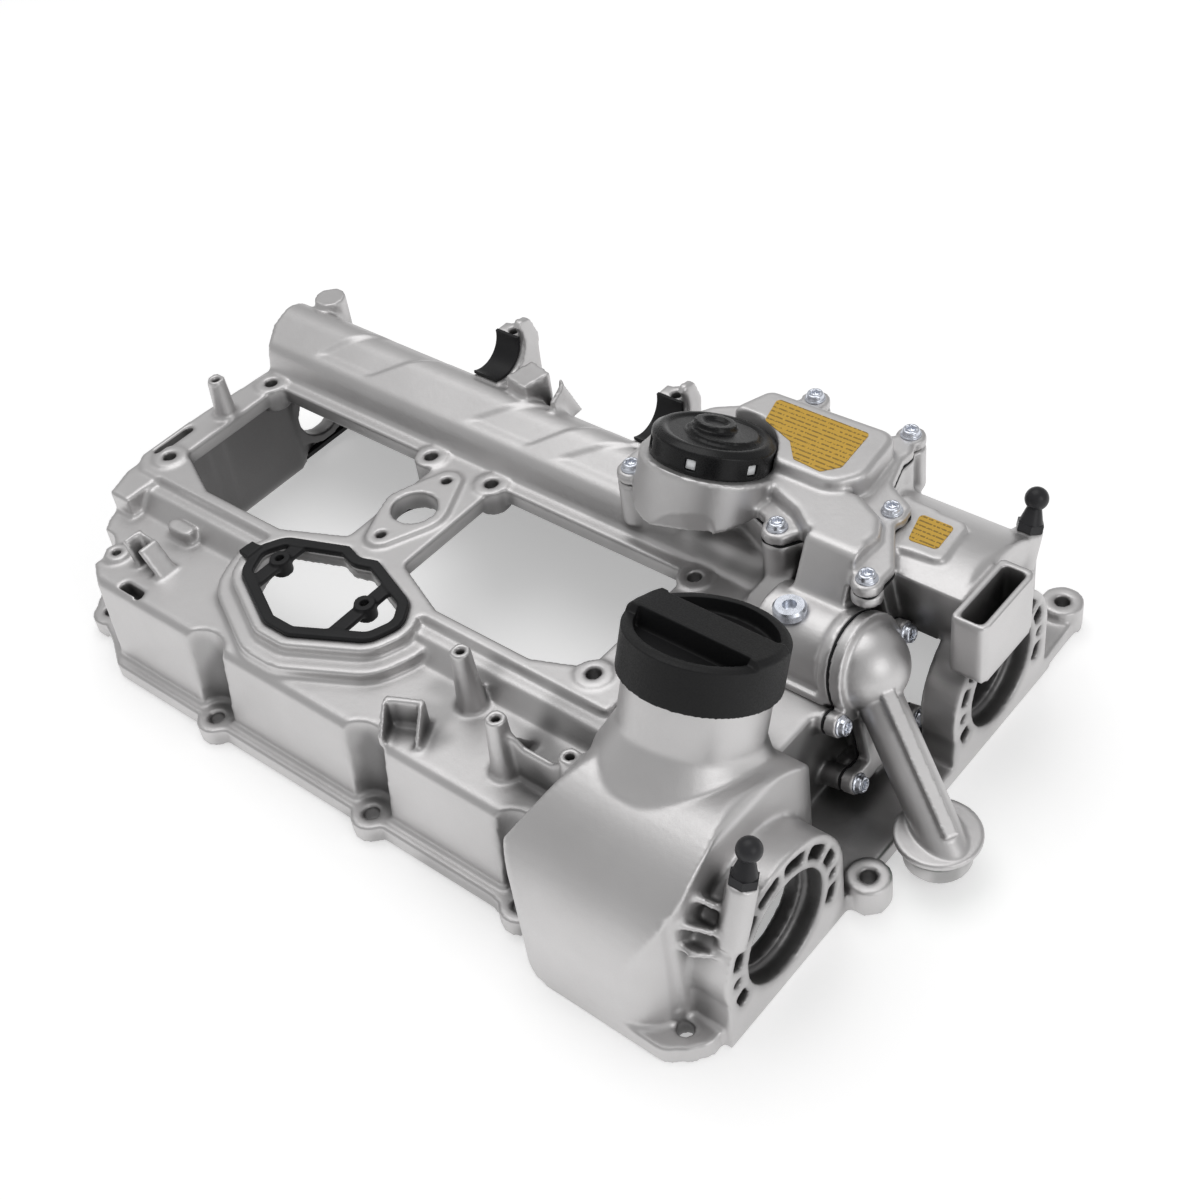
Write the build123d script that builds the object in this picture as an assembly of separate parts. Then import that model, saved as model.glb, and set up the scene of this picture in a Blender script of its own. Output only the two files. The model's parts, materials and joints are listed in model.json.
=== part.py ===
from build123d import *

import math
import os

os.makedirs("parts", exist_ok=True)

# A die-cast aluminium valve cover for a slanted four-cylinder engine, in millimetres.
# X runs towards the timing end, Y away from the exhaust side, Z up from the sealing face.
# Everything is drawn about a working origin and moved at the end, so that the finished
# part stands on Z = 0 with its bounding box centred on the Z axis.

# Walls and levels above the sealing face
WALL = 4.0
FLANGE_T = 9.0
SHOULDER_Z = 51.0
LEDGE_Z = 59.5
RAIL_Z = 63.0
RAIL_T = 8.0
RAIL_UNDER_Z = RAIL_Z - RAIL_T
DECK_Z = 57.0
RAIL_BOSS_UP = 1.0
RAIL_BOSS_DEEP = 12.0

# Near gallery, across the engine
NEAR_FOOT_Y = -104.5
NEAR_RIDGE_Y = -98.7
SHOULDER_END_Y = -54.0
LEDGE_START_Y = -47.5
RAIL_NEAR_Y = -40.5
RAIL_FAR_Y = 48.5

# Far gallery, across the engine
GALLERY_RISE_Y = 53.0
GALLERY_RISE_Z = 75.0
GALLERY_TOP_Y = 82.0
GALLERY_TOP_Z = 87.0
GALLERY_FOOT_Y = 124.0

# Bolts through the outer flange
BOLT_R = 3.5
BOLT_BOSS_R = 9.5
POCKET_R = 10.5
POCKET_TOP_R = 14.5
NEAR_BOLTS = [(-145.0, -105.0), (-45.0, -105.0), (40.0, -105.0)]
CORNER_BOLTS = [(-244.0, -86.0), (129.0, -113.0)]
BOLT_WAY = 1.0
LUG_BOLTS = [(148.0, -19.0), (135.0, 157.0)]
FAR_BOLTS = [(-246.0, 118.0), (-145.0, 129.0), (-45.0, 129.0), (46.0, 136.5)]
LUG_T = 14.0

# Bore through the rear wall into the far gallery
REAR_BORE_Y = 72.0
REAR_BORE_Z = 24.0
REAR_BORE_R = 15.0
REAR_BORE_X0 = -263.0
REAR_BORE_L = 9.0

# Bolts through the inner rails
RAIL_BOLT_R = 3.3
RAIL_BOSS_R = 8.0
RAIL_BOLT_X = [-246.0, 22.0]
RAIL_BOLT_Y = [-27.0, 41.0]
BAR_BOLT_X = [-134.0, -95.5]

# Timing end: both cam ends share one height, radius and front face
CAM_Z = 33.0
CAM_Y = [-68.0, 87.0]
TOWER_R = 57.0
TOWER_X0 = 46.0
TOWER_X1 = [128.0, 137.0]
TOWER_CORNER_R = 24.0
TOWER_REAR_Z = 60.0
TOWER_REAR_RUN = 18.0
RING_X = 145.0
RING_X0 = [112.0, 128.0]
RING_R = 37.5
RING_BORE_R = 24.0
RING_BORE_DEEP = 9.0
CAM_BORE_R = 20.5
SLOT_R0 = 27.7
SLOT_R1 = 33.7
SLOT_DEEP = 11.0
RING_FLOOR = 5.0
RING_SCREW_R = 2.4
RING_SCREW_PCR = 30.5
SLOT_ANGLES = [(12, 28), (35, 58), (64, 88), (94, 118), (124, 146), (152, 167), (193, 209), (332, 348)]
RING_FOOT_Y = -106.0

# Parts that stand upright once the engine is mounted lean by this angle here
LEAN = 21.0

# Oil filler neck and cap, measured along the leaning axis from the cam axis
NECK_X = 89.0
NECK_FOOT = 46.0
NECK_FOOT_R = 36.0
NECK_FLARE = 16.0
NECK_R = 28.5
NECK_TOP = 91.5
NECK_BORE_R = 23.0
CAP_R = 31.5
CAP_SEAT = 83.0
CAP_H = 21.5
CAP_WALL = 2.6
GRIP_W = 17.0
GRIP_DEEP = 9.0
STEM_R = 18.5
STEM_LOW = 79.0
LUG_H = 3.0
LUG_UNDER = 84.0
LUG_BORE_R = 20.0
LUG_ANGLE = 28.0
CAP_SEAL_W = 4.0

# Ventilation housing on the front half of the far gallery
PART_Z = 92.0
CHAMBER_FLOOR_Z = 68.0
CHAMBER_LEDGE = 2.0
BAFFLE_T = 2.0
BAFFLE_UNDER = 5.0
GASKET_T = 0.8
HOUSING_Z = PART_Z + GASKET_T
HOUSING_T = 5.0
HOUSING_TOP_Z = HOUSING_Z + HOUSING_T
HOUSING_WALL = 3.0
BOX_TOP_Z = 109.0
DUCT_TOP_Z = 104.0
BARREL_Y = 36.0
BARREL_Z = 64.0
BARREL_R = 19.5
BARREL_X0 = 67.0
BARREL_SOLE = 3.0
BAY_FAR_Y = 58.8
BAY_TOP_Z = 87.0

# Pressure regulator on the ventilation housing, on its own leaning axis
REG_LEAN = 23.0
REG_X = 13.0
REG_Y = 69.7
REG_Z = 105.0
REG_R = 26.5
REG_H = 12.0
REG_WALL = 2.0
REG_COLLAR_R = 30.5
REG_COLLAR_DEEP = 30.0
REG_BORE_R = 22.0
REG_BORE_DEEP = 8.0
REG_TUBE_R = 8.0
REG_TUBE_BORE_R = 5.5
DIAPHRAGM_T = 1.2
PLATE_R = 13.0
PLATE_T = 1.0
SPRING_R = 9.6
SPRING_WIRE = 1.2
SPRING_PITCH = 2.4
SPRING_FOOT = 7.2
REG_TRAVEL = 3.0

# Screws of the ventilation housing and of the outlet joint
SCREW_R = 2.5
SCREW_HEAD_R = 4.6
SCREW_HEAD_H = 3.2
SCREW_L = 12.0
JOINT_SCREW_L = 16.0
SCREW_HOLE_R = 2.8
SCREW_SOCKET_R = 2.3
SCREW_BOSS_R = 6.5
HOUSING_SCREWS = [(-18.0, 53.5), (57.0, 55.0), (104.5, 48.5), (91.0, 87.5), (71.0, 133.5), (22.0, 133.5)]
PLUG_XY = (80.0, 30.0)
PLUG_SEAT_Z = 82.0
PLUG_R = 7.0
PLUG_H = 4.0
PLUG_SHANK_R = 4.5
PLUG_SHANK_L = 6.0

# Outlet joint at the timing end, in its own leaning plane
JOINT_X = 112.5
JOINT_Y = 35.0
JOINT_Z = 42.0
JOINT_LEAN = 11.0
JOINT_SCREWS = [(-24.0, 11.0), (26.0, 20.0), (-22.5, -21.5), (22.5, -23.5)]
JOINT_BOSS_R = 5.2
JOINT_T = 5.5
JOINT_PORT_UP = 22.0
JOINT_PORT_R = 22.0
JOINT_PORT_BORE_R = 15.0
JOINT_BOSS_L = 22.0
JOINT_WEB = 13.0
PIPE_R = 9.4
PIPE_BORE_R = 7.0
PIPE_END = (162.0, 9.5)
PIPE_RIB_W = 6.0
PIPE_RIB_UP = 12.5
ELBOW_R = 18.5
DISC_Z = 18.5
DISC_R = 17.8
DISC_T = 3.0
SPIGOT_R = 14.0
SPIGOT_LOW = 6.0
CORD_R = 2.1
CORD_SEAT_R = 10.7

# Centre opening and its rubber seal
SEAL_W = 5.0
SEAL_GROOVE = 1.6
SEAL_UP = 1.6
SEAL_INSET = 1.2
SEAL_FIT = 0.3
COLLAR_OUT = 4.0
COLLAR_FOOT_OUT = 12.0
COLLAR_FOOT_Z = 57.0
SEAL_BAR_W = 7.0
SEAL_BAR_X = [-142.0, -88.0]
SEAL_BAR_T = 4.0
SEAL_EYE_R = 4.8
SEAL_EYE_HOLE_R = 2.0
SEAL_EYE_Y = -50.0

# Gaskets under the flange and under the rail
GASKET_IN = 3.5
GASKET_W = 3.4
GASKET_H = 2.4
GASKET_ROUND_R = 6.0
GASKET_FIT = 0.1
RAIL_GASKET_IN = 2.2
RAIL_GASKET_W = 2.4
RAIL_GASKET_H = 1.8
RAIL_GASKET_DEEP = 1.2

# Ball studs
BALL_R = 5.0
STUD_HEX_R = 6.0
STUD_HEX_H = 3.5
STUD_NECK_R = 2.8
BALL_UP = 14.0
POST_R = 6.0
NEAR_STUD = (141.0, -93.0, 59.0)
NEAR_POST_H = 19.0
FAR_STUD = (132.5, 121.5, 66.0)
FAR_POST_H = 13.0
STUD_SHANK_R = 3.0
STUD_SHANK_L = 8.0

# Line cradles on the far gallery
CRADLE_Y = 89.0
CRADLE_Z = 95.5
CRADLE_R = 14.0
CRADLE_LINER = 1.5
CRADLE_WALL = 7.0
CRADLE_L = 17.0
LINER_L = 14.0
CRADLE_X = [-140.0, -42.0]

# Labels
LABEL_T = 0.3

RUN_GAP = 0.3


def outline(points, radius=0.0):
    """Closed face through the points, every corner rounded by the radius or its list entry."""
    return make_face(FilletPolyline(*points, radius=radius, close=True))


def prism(points, z0, z1, radius=0.0):
    """Upright block on an outline, from one level to another."""
    return Pos(0, 0, z0) * extrude(outline(points, radius), amount=z1 - z0)


def block(face, z0, z1):
    """Upright block on a ready face."""
    return Pos(0, 0, z0) * extrude(face, amount=z1 - z0)


def bar_x(points, x0, x1, radius=0.0):
    """Bar along X whose section is drawn as (y, z) points."""
    return extrude(Plane.YZ.offset(x0) * outline(points, radius), amount=x1 - x0)


def bar_y(points, y0, y1, radius=0.0):
    """Bar along Y whose section is drawn as (x, z) points."""
    return extrude(Plane.XZ.offset(-y0) * outline(points, radius), amount=y0 - y1)


def rod_x(y, z, radius, x0, x1):
    """Round bar along X."""
    return extrude(Plane.YZ.offset(x0) * Pos(y, z) * Circle(radius), amount=x1 - x0)


def rod_z(x, y, radius, z0, z1):
    """Upright round bar."""
    return Pos(x, y, z0) * Cylinder(radius, z1 - z0, align=(Align.CENTER, Align.CENTER, Align.MIN))


def cone_z(x, y, r0, r1, z0, z1):
    """Upright cone frustum."""
    return Pos(x, y, z0) * Cone(r0, r1, z1 - z0, align=(Align.CENTER, Align.CENTER, Align.MIN))


def rod_in(frame, x, y, radius, z0, z1):
    """Round bar along the axis of a leaning frame."""
    return frame * Pos(x, y, z0) * Cylinder(radius, z1 - z0, align=(Align.CENTER, Align.CENTER, Align.MIN))


def cone_in(frame, r0, r1, z0, z1):
    """Cone frustum along the axis of a leaning frame."""
    return frame * Pos(0, 0, z0) * Cone(r0, r1, z1 - z0, align=(Align.CENTER, Align.CENTER, Align.MIN))


def box(x0, x1, y0, y1, z0, z1):
    """Box between two corners."""
    return Pos((x0 + x1) / 2, (y0 + y1) / 2, (z0 + z1) / 2) * Box(x1 - x0, y1 - y0, z1 - z0)


def grown(face, amount):
    """The face grown, or shrunk where the amount is negative."""
    return offset(face, amount=amount) if amount else face


def top_rounded(solid, radius):
    """A plain block with the edges of its top face rounded."""
    return fillet(solid.edges().group_by(Axis.Z)[-1], radius)


# Frames that lean with the engine
LEAN_DIR = Vector(0, math.sin(math.radians(LEAN)), math.cos(math.radians(LEAN)))
NECK_FRAME = Plane(origin=(NECK_X, CAM_Y[0], CAM_Z), x_dir=(1, 0, 0), z_dir=LEAN_DIR)
REG_DIR = Vector(0, math.sin(math.radians(REG_LEAN)), math.cos(math.radians(REG_LEAN)))
REG_FRAME = Plane(origin=(REG_X, REG_Y, REG_Z), x_dir=(1, 0, 0), z_dir=REG_DIR)
JOINT_DIR = Vector(math.cos(math.radians(JOINT_LEAN)), 0, math.sin(math.radians(JOINT_LEAN)))
JOINT_FRAME = Plane(origin=(JOINT_X, JOINT_Y, JOINT_Z), x_dir=(0, 1, 0), z_dir=JOINT_DIR)
NEAR_STUD_FRAME = Plane(origin=NEAR_STUD, x_dir=(1, 0, 0), z_dir=LEAN_DIR)
FAR_STUD_FRAME = Plane(origin=FAR_STUD, x_dir=(1, 0, 0), z_dir=LEAN_DIR)

# Plan outlines, seen from above
FLANGE_OUTLINE = [(-262, -76), (-254, -88), (-228, -99), (-212, -109), (26, -109), (50, -112),
                  (72, -125), (128, -126), (141, -114), (141, -106), (145, -88), (145, 120),
                  (128, 142), (60, 146), (20, 137), (-240, 137), (-262, 122)]
FLANGE_RADII = [6, 8, 20, 10, 12, 14, 12, 10, 8, 4, 6, 12, 14, 14, 14, 16, 14]
REAR_OUTLINE = [(-208, -130), (-213, -104), (-231, -91), (-250, -67), (-258, -45), (-259, 0),
                (-255, 8), (-255, 48), (-263, 64), (-263, 92), (-246, 124), (-246, 150),
                (60, 150), (60, -130)]
REAR_RADII = [0, 4, 6, 8, 6, 3, 3, 3, 8, 12, 6, 0, 0, 0]
RAIL_OUTLINE = [(-260, -2), (-260, -34), (-252, RAIL_NEAR_Y), (40, RAIL_NEAR_Y), (40, 53), (-256, 53)]
REAR_WINDOW = [(-241, 41.5), (-128, 41.5), (-128, -20.5), (-159, -34), (-211, -34), (-241, -20)]
FRONT_WINDOW = [(-92.5, 41.5), (18, 41.5), (18, -24), (8, -28.5), (-7, -34.5), (-60, -34.5), (-92.5, -21)]
WINDOW_R = 4.0
SEAL_OUTLINE = [(-121, -25), (-112, -28), (-103, -25), (-72, -36.5), (-63.5, -50), (-70, -66),
                (-104, -83), (-119, -83), (-153, -66), (-160, -50), (-152, -36.5)]
SEAL_RADII = [4, 6, 4, 12, 12, 12, 10, 10, 12, 12, 12]
PAD_BORE = (-113.6, 8.4)
PAD_GASKET_GAP = 1.0
PAD_BORE_R = 10.8
PAD_R = 16.0
PAD_EYES = [(-114.0, 30.6), (-114.0, -13.2)]
PAD_EYE_R = 7.0
PAD_EYE_HOLE_R = 2.5
PAD_UP = 2.0
CHAMBER_OUTLINE = [(-24, 47), (-8, 51), (3, 51.5), (15, 55.5), (31, 64), (50, 57), (52, 49),
                   (62, 49.5), (68, 59), (99.5, 59), (99.5, 43), (110, 43), (110, 60), (96, 82),
                   (97, 94), (82, 102), (77, 118), (78, 129), (14, 129), (8, 122), (-14, 106),
                   (-26, 84)]
CHAMBER_RADII = [5, 6, 6, 8, 8, 3, 4, 4, 4, 3, 4, 4, 6, 4, 4, 6, 6, 5, 5, 8, 14, 14]
DUCT_OUTLINE = [(26, 76), (42, 69), (60, 63), (70, 56), (97, 56), (98, 68), (93, 77), (79, 84), (40, 86)]
DUCT_RADII = [4, 6, 6, 4, 4, 6, 6, 6, 6]
BOX_OUTLINE = [(10, 118), (3, 100), (12, 90), (40, 78), (68, 78), (77, 90), (74, 120)]
BOX_RADII = [6, 6, 6, 6, 12, 12, 8]
LABEL_OUTLINE = [(17, 113), (21, 98), (38, 92), (46, 83), (60, 82), (66, 89), (64, 113)]
WEDGE_OUTLINE = [(84, 106), (118, 103), (120, 78), (98, 76), (84, 88)]
WEDGE_Z = 91.5
EYE_BOSS = (-225.5, -81.5)
REAR_SLOT = [(-257.5, -28.6), (-252.8, -28.6), (-252.8, -5.0), (-257.5, -5.0)]
REAR_SLOT_DEEP = 6.5
EDGE_POCKET = [(-207.3, -96.0), (-207.9, -90.7), (-193.7, -91.1), (-192.6, -96.0)]
EDGE_POCKET_DEEP = 9.0
SEAL_TAB = [(-162.0, -57.0), (-155.0, -57.8), (-155.0, -49.0), (-161.4, -48.8)]
SMALL_LABEL_OUTLINE = [(98, 98), (114, 98), (115, 83), (102, 82)]
MOUTH_OUTLINE = [(138, 54), (154, 54), (154, 94), (138, 94)]
MOUTH_Z = 90.0
MOUTH_LOW_Z = 60.0
MOUTH_WALL = 3.0


def near_gallery(w):
    """Near cam gallery: drafted outer wall, flat shoulder and the rise to the inner rail."""
    top = RAIL_UNDER_Z if w else LEDGE_Z
    section = [(NEAR_FOOT_Y + w, -w), (NEAR_RIDGE_Y + w, SHOULDER_Z - w),
               (SHOULDER_END_Y + w, SHOULDER_Z - w), (LEDGE_START_Y + w, top), (-30, top), (-30, -w)]
    return bar_x(section, -270, 60, [0, 5, 3, 3, 0, 0])


def far_gallery(w):
    """Far cam gallery: a barrel roof that climbs from the rail and falls to the far flange."""
    top = RAIL_UNDER_Z if w else RAIL_Z
    section = [(30, -w), (30, top), (RAIL_FAR_Y + w, top), (GALLERY_RISE_Y + w, GALLERY_RISE_Z - w),
               (GALLERY_TOP_Y, GALLERY_TOP_Z - w), (GALLERY_FOOT_Y - w, FLANGE_T),
               (GALLERY_FOOT_Y - w, -w)]
    return bar_x(section, -270, 60, [0, 0, 3, 8, 14, 10, 0])


def rear_wall(w):
    """End wall that joins the galleries; its hollow is the open space over the cylinder head."""
    if w:
        return box(-270, 42, -35, 35, -w, RAIL_UNDER_Z)
    return box(-270, -240, -60, 60, 0, RAIL_Z - 1)


def tower(side, w):
    """Round-topped housing over one cam drive, its plan corners and rear shoulder rounded."""
    x0 = TOWER_X0 + w
    x1 = min(TOWER_X1[side] - w, RING_X - SLOT_DEEP - RING_FLOOR) if w else TOWER_X1[side]
    half = TOWER_R - w
    y = CAM_Y[side]
    plan = Pos((x0 + x1) / 2, y) * RectangleRounded(x1 - x0, 2 * half, TOWER_CORNER_R - w)
    profile = [(x0, CAM_Z - 1), (x0, TOWER_REAR_Z - w), (x0 + TOWER_REAR_RUN, CAM_Z + half),
               (x1, CAM_Z + half), (x1, CAM_Z - 1)]
    dome = rod_x(y, CAM_Z, half, x0, x1) & block(plan, CAM_Z - 1, CAM_Z + TOWER_R)
    dome &= bar_y(profile, y - TOWER_R, y + TOWER_R, [0, 16, 16, 6, 0])
    return dome + block(plan, -w, CAM_Z)


def bridge(w):
    """Closed deck between the two towers, under the outlet joint."""
    return box(40 - w, 106 - w, -45, 60, -w, DECK_Z - w)


def outlet_bay(w):
    """Free space over the deck for the outlet barrel and in front of the outlet joint."""
    bay = box(BARREL_X0 - 1 - w, 150, -2, BAY_FAR_Y + w, DECK_Z - w, BAY_TOP_Z)
    front = JOINT_FRAME * Pos(-3, 12, 40 - w) * Box(70 + 2 * w, 100, 80)
    return bay + front


def shells(w):
    """All hollow forms of the casting, shrunk by one wall thickness."""
    plan = grown(outline(REAR_OUTLINE, REAR_RADII), -w)
    galleries = (near_gallery(w) + far_gallery(w) + rear_wall(w)) & block(plan, -w, 120)
    towers = tower(0, w) + tower(1, w) + bridge(w)
    return galleries + (towers - outlet_bay(w))


def neck():
    """Leaning oil filler neck, flared where it leaves the tower."""
    flare = cone_in(NECK_FRAME, NECK_FOOT_R, NECK_R, NECK_FOOT, NECK_FOOT + NECK_FLARE)
    return flare + rod_in(NECK_FRAME, 0, 0, NECK_R, NECK_FOOT, NECK_TOP)


def arcs(inner, outer, z0, z1, half_angle, turn):
    """Two opposite ring segments about the local Z axis."""
    reach = 2 * outer
    wide = reach * math.tan(math.radians(half_angle))
    wedge = Polygon((0, 0), (reach, -wide), (reach, wide), align=None)
    fan = Rot(0, 0, turn) * wedge + Rot(0, 0, turn + 180) * wedge
    ring = Circle(outer) - Circle(inner)
    return Pos(0, 0, z0) * extrude(fan & ring, amount=z1 - z0)


def chamber_face(inset):
    """Outline of the ventilation chamber and of the flange on it."""
    return grown(outline(CHAMBER_OUTLINE, CHAMBER_RADII), -inset)


def seal_face(grow):
    """Outline of the centre seal, grown or shrunk."""
    return grown(outline(SEAL_OUTLINE, SEAL_RADII), grow)


def ring_front(side):
    """Front boss round a cam end with the straight foot that reaches the flange."""
    y = CAM_Y[side]
    near = RING_FOOT_Y if side == 0 else y - RING_R
    back = RING_X0[side]
    foot = bar_x([(near, 0), (near + 2, CAM_Z), (y + RING_R, CAM_Z), (y + RING_R, 0)], back, RING_X)
    above = box(back, RING_X, y - TOWER_R, y + TOWER_R, 0, CAM_Z + TOWER_R)
    return (rod_x(y, CAM_Z, RING_R, back, RING_X) + foot) & above


def ring_cuts(y):
    """Stepped cam bore, weight-saving slots, two screw holes and the recess behind a front boss."""
    cuts = rod_x(y, CAM_Z, RING_BORE_R, RING_X - RING_BORE_DEEP, RING_X + 1)
    cuts += rod_x(y, CAM_Z, CAM_BORE_R, 100, RING_X)
    cuts += rod_x(y, CAM_Z, RING_R - WALL, 108, RING_X - SLOT_DEEP - RING_FLOOR)
    for a0, a1 in SLOT_ANGLES:
        mid = (a0 + a1) / 2
        corners = [(SLOT_R0, a0), (SLOT_R1, a0), (SLOT_R1, mid)]
        corners += [(SLOT_R1, a1), (SLOT_R0, a1), (SLOT_R0, mid)]
        points = []
        for r, a in corners:
            points.append((y + r * math.cos(math.radians(a)), CAM_Z + r * math.sin(math.radians(a))))
        cuts += bar_x(points, RING_X - SLOT_DEEP, RING_X + 1)
    for turn in (-1, 1):
        cuts += rod_x(y + turn * RING_SCREW_PCR, CAM_Z, RING_SCREW_R, RING_X - SLOT_DEEP, RING_X + 1)
    return cuts


def rail_bolts():
    """Centres of the six bolts on the inner rails."""
    corners = [(x, y) for x in RAIL_BOLT_X for y in RAIL_BOLT_Y]
    return corners + [(x, RAIL_BOLT_Y[1]) for x in BAR_BOLT_X]


def joint_bosses():
    """Long screw bosses behind the outlet joint, with the web that ties them to the front wall."""
    web = extrude(Pos(0, -5.5) * Rectangle(36, 31), amount=4)
    solid = JOINT_FRAME * Pos(0, 0, -JOINT_WEB) * web
    for x, y in JOINT_SCREWS:
        solid += rod_in(JOINT_FRAME, x, y, JOINT_BOSS_R, -JOINT_BOSS_L, 0)
    return solid


def cradle(x0):
    """Half-round line cradle with its end wall and screw boss, standing on the far gallery."""
    x1 = x0 + CRADLE_L
    keep = [(CRADLE_Y - 6, CRADLE_Z + 1), (CRADLE_Y - 6, 72)]
    keep += [(CRADLE_Y + 24, 60), (CRADLE_Y + 24, CRADLE_Z + 1)]
    ring = rod_x(CRADLE_Y, CRADLE_Z, CRADLE_R + CRADLE_WALL, x0, x1) & bar_x(keep, x0, x1)
    ring += rod_z(x0 + 8, CRADLE_Y + 17, 6.5, 66, CRADLE_Z + 1)
    end = [(CRADLE_Y + 4, 66), (CRADLE_Y + 8, 98), (CRADLE_Y + 13, 106), (CRADLE_Y + 20, 105),
           (CRADLE_Y + 24, 94), (CRADLE_Y + 22, 66)]
    ring += bar_x(end, x1 - 4, x1, [0, 6, 3, 4, 3, 0])
    ring -= rod_x(CRADLE_Y, CRADLE_Z, CRADLE_R, x0 - 1, x1 + 1)
    ring -= rod_z(x0 + 8, CRADLE_Y + 17, 2.6, CRADLE_Z - 14, CRADLE_Z + 2)
    return ring


def line_clip(x0):
    """Rubber liner that sits in a line cradle, with its lip tab."""
    x1 = x0 + LINER_L
    keep = [(CRADLE_Y - 6, CRADLE_Z), (CRADLE_Y - 6, 70), (CRADLE_Y + 20, 70)]
    keep += [(CRADLE_Y + 20, CRADLE_Z + 1), (CRADLE_Y, CRADLE_Z + 1)]
    shell = rod_x(CRADLE_Y, CRADLE_Z, CRADLE_R, x0, x1)
    shell -= rod_x(CRADLE_Y, CRADLE_Z, CRADLE_R - CRADLE_LINER, x0, x1)
    shell &= bar_x(keep, x0, x1)
    return shell


def posts():
    """Small screw posts on the near shoulder and at the rear, joined by thin webs."""
    solids = cone_z(-18, -60, 6.5, 4.3, SHOULDER_Z - 2, 83)
    solids += cone_z(18, -79, 6.5, 4.3, SHOULDER_Z - 2, 82)
    solids += cone_z(55, -78, 6.0, 4.3, SHOULDER_Z - 2, 82)
    solids += cone_z(-248, 12, 5.5, 4.3, RAIL_Z - 2, 84)
    web = [(18, SHOULDER_Z - 1), (18, 78), (30, 70), (44, 70), (55, 78), (55, SHOULDER_Z - 1)]
    solids += bar_y(web, -79, -76.5)
    solids += bar_x([(-80, SHOULDER_Z - 1), (-80, 74), (-60, SHOULDER_Z - 1)], 17, 19)
    solids += bar_x([(-60, SHOULDER_Z - 1), (-60, 76), (-50, SHOULDER_Z - 1)], -19, -17)
    return solids


def post_holes():
    """Blind holes down the small posts."""
    holes = rod_z(-18, -60, 2.0, 71, 84) + rod_z(18, -79, 2.0, 70, 83)
    return holes + rod_z(55, -78, 2.0, 70, 83) + rod_z(-248, 12, 2.0, 72, 85)


def brackets():
    """Small cast brackets and fins on the shoulder, the rear corner and the far gallery."""
    back = Pos(-33, -82, 0) * Rot(0, 0, 25)
    solids = back * box(-9, 9, -1.5, 1.5, SHOULDER_Z - 1, 65)
    for x in (-9, 7):
        gusset = bar_x([(0, SHOULDER_Z - 1), (0, 65), (-4, 65), (-14, 55), (-14, SHOULDER_Z - 1)], x, x + 2)
        solids += back * gusset
    solids += rod_z(EYE_BOSS[0], EYE_BOSS[1], 6, SHOULDER_Z - 2, SHOULDER_Z + 2)
    low = SHOULDER_Z - 1
    solids += bar_y([(-210, low), (-213, 65), (-203, 63.5), (-194, low)], -74, -72)
    solids += bar_y([(-211, low), (-215, 64.5), (-213, 66), (-208.5, low)], -82, -72)
    solids += bar_y([(-205, 63.5), (-202.5, 64.5), (-192, low), (-195.5, low)], -82, -72)
    lump = [(-215, -59), (-199, -59), (-199, -52), (-215, -52)]
    solids += prism(lump, SHOULDER_Z - 2, SHOULDER_Z + 7, 3.4)
    solids += prism([(-118, 82), (-104, 79), (-101, 95), (-115, 98)], 70, 90, 1)
    solids += bar_y([(-104, 56), (-95, 90), (-88, 56)], 94, 96.5)
    solids += bar_x([(84, 70), (80, 86), (90, 92), (100, 70)], -90, -88)
    solids += rod_z(-249, 92, 8, 60, 84)
    return solids


def duct_mouth():
    """Rectangular air mouth on the far front boss."""
    return prism(MOUTH_OUTLINE, MOUTH_LOW_Z, MOUTH_Z, 3)


def knife_ribs():
    """Radial ribs between the near front boss and its tower."""
    ribs = None
    for turn in (128, 141, 154):
        web = outline([(126, RING_R - 2), (126, RING_R + 15), (143, RING_R - 2)])
        rib = Pos(0, CAM_Y[0], CAM_Z) * Rot(turn, 0, 0) * Pos(0, 0, -1.2) * extrude(web, amount=2.4)
        ribs = rib if ribs is None else ribs + rib
    return ribs


def bolt_slots(radius):
    """Discs round the flange bolts, each opened towards the nearest outer edge."""
    face = None
    for x, y in NEAR_BOLTS + CORNER_BOLTS + FAR_BOLTS + LUG_BOLTS:
        disc = Pos(x, y) * Circle(radius)
        if (x, y) in NEAR_BOLTS + CORNER_BOLTS:
            disc += Pos(x, y - 15) * Rectangle(2 * radius, 30)
        elif (x, y) in FAR_BOLTS:
            disc += Pos(x, y + 15) * Rectangle(2 * radius, 30)
        else:
            disc += Pos(x + 15, y) * Rectangle(30, 2 * radius)
        face = disc if face is None else face + disc
    return face


def flange_band(fit):
    """Path of the flange gasket: along the edge and inwards round every bolt."""
    edge = outline(FLANGE_OUTLINE, FLANGE_RADII)
    outer = grown(edge, fit - GASKET_IN) - bolt_slots(GASKET_ROUND_R - fit)
    inner = grown(edge, -fit - GASKET_IN - GASKET_W) - bolt_slots(GASKET_ROUND_R + GASKET_W + fit)
    return outer - inner


def rail_band(fit):
    """Path of the rail gasket: round both windows and outwards round every rail bolt."""
    band = None
    for window in (REAR_WINDOW, FRONT_WINDOW):
        inner = grown(outline(window, WINDOW_R), RAIL_GASKET_IN - fit)
        outer = grown(outline(window, WINDOW_R), RAIL_GASKET_IN + RAIL_GASKET_W + fit)
        for x, y in rail_bolts():
            if window[0][0] - 12 < x < window[2][0] + 12:
                inner += Pos(x, y) * Circle(GASKET_ROUND_R - fit)
                outer += Pos(x, y) * Circle(GASKET_ROUND_R + RAIL_GASKET_W + fit)
        part = outer - inner
        band = part if band is None else band + part
    band += Pos(-110.25, 24) * Rectangle(28.5, RAIL_GASKET_W + 2 * fit)
    return band - Pos(*PAD_BORE) * Circle(PAD_BORE_R + PAD_GASKET_GAP - fit)


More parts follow.
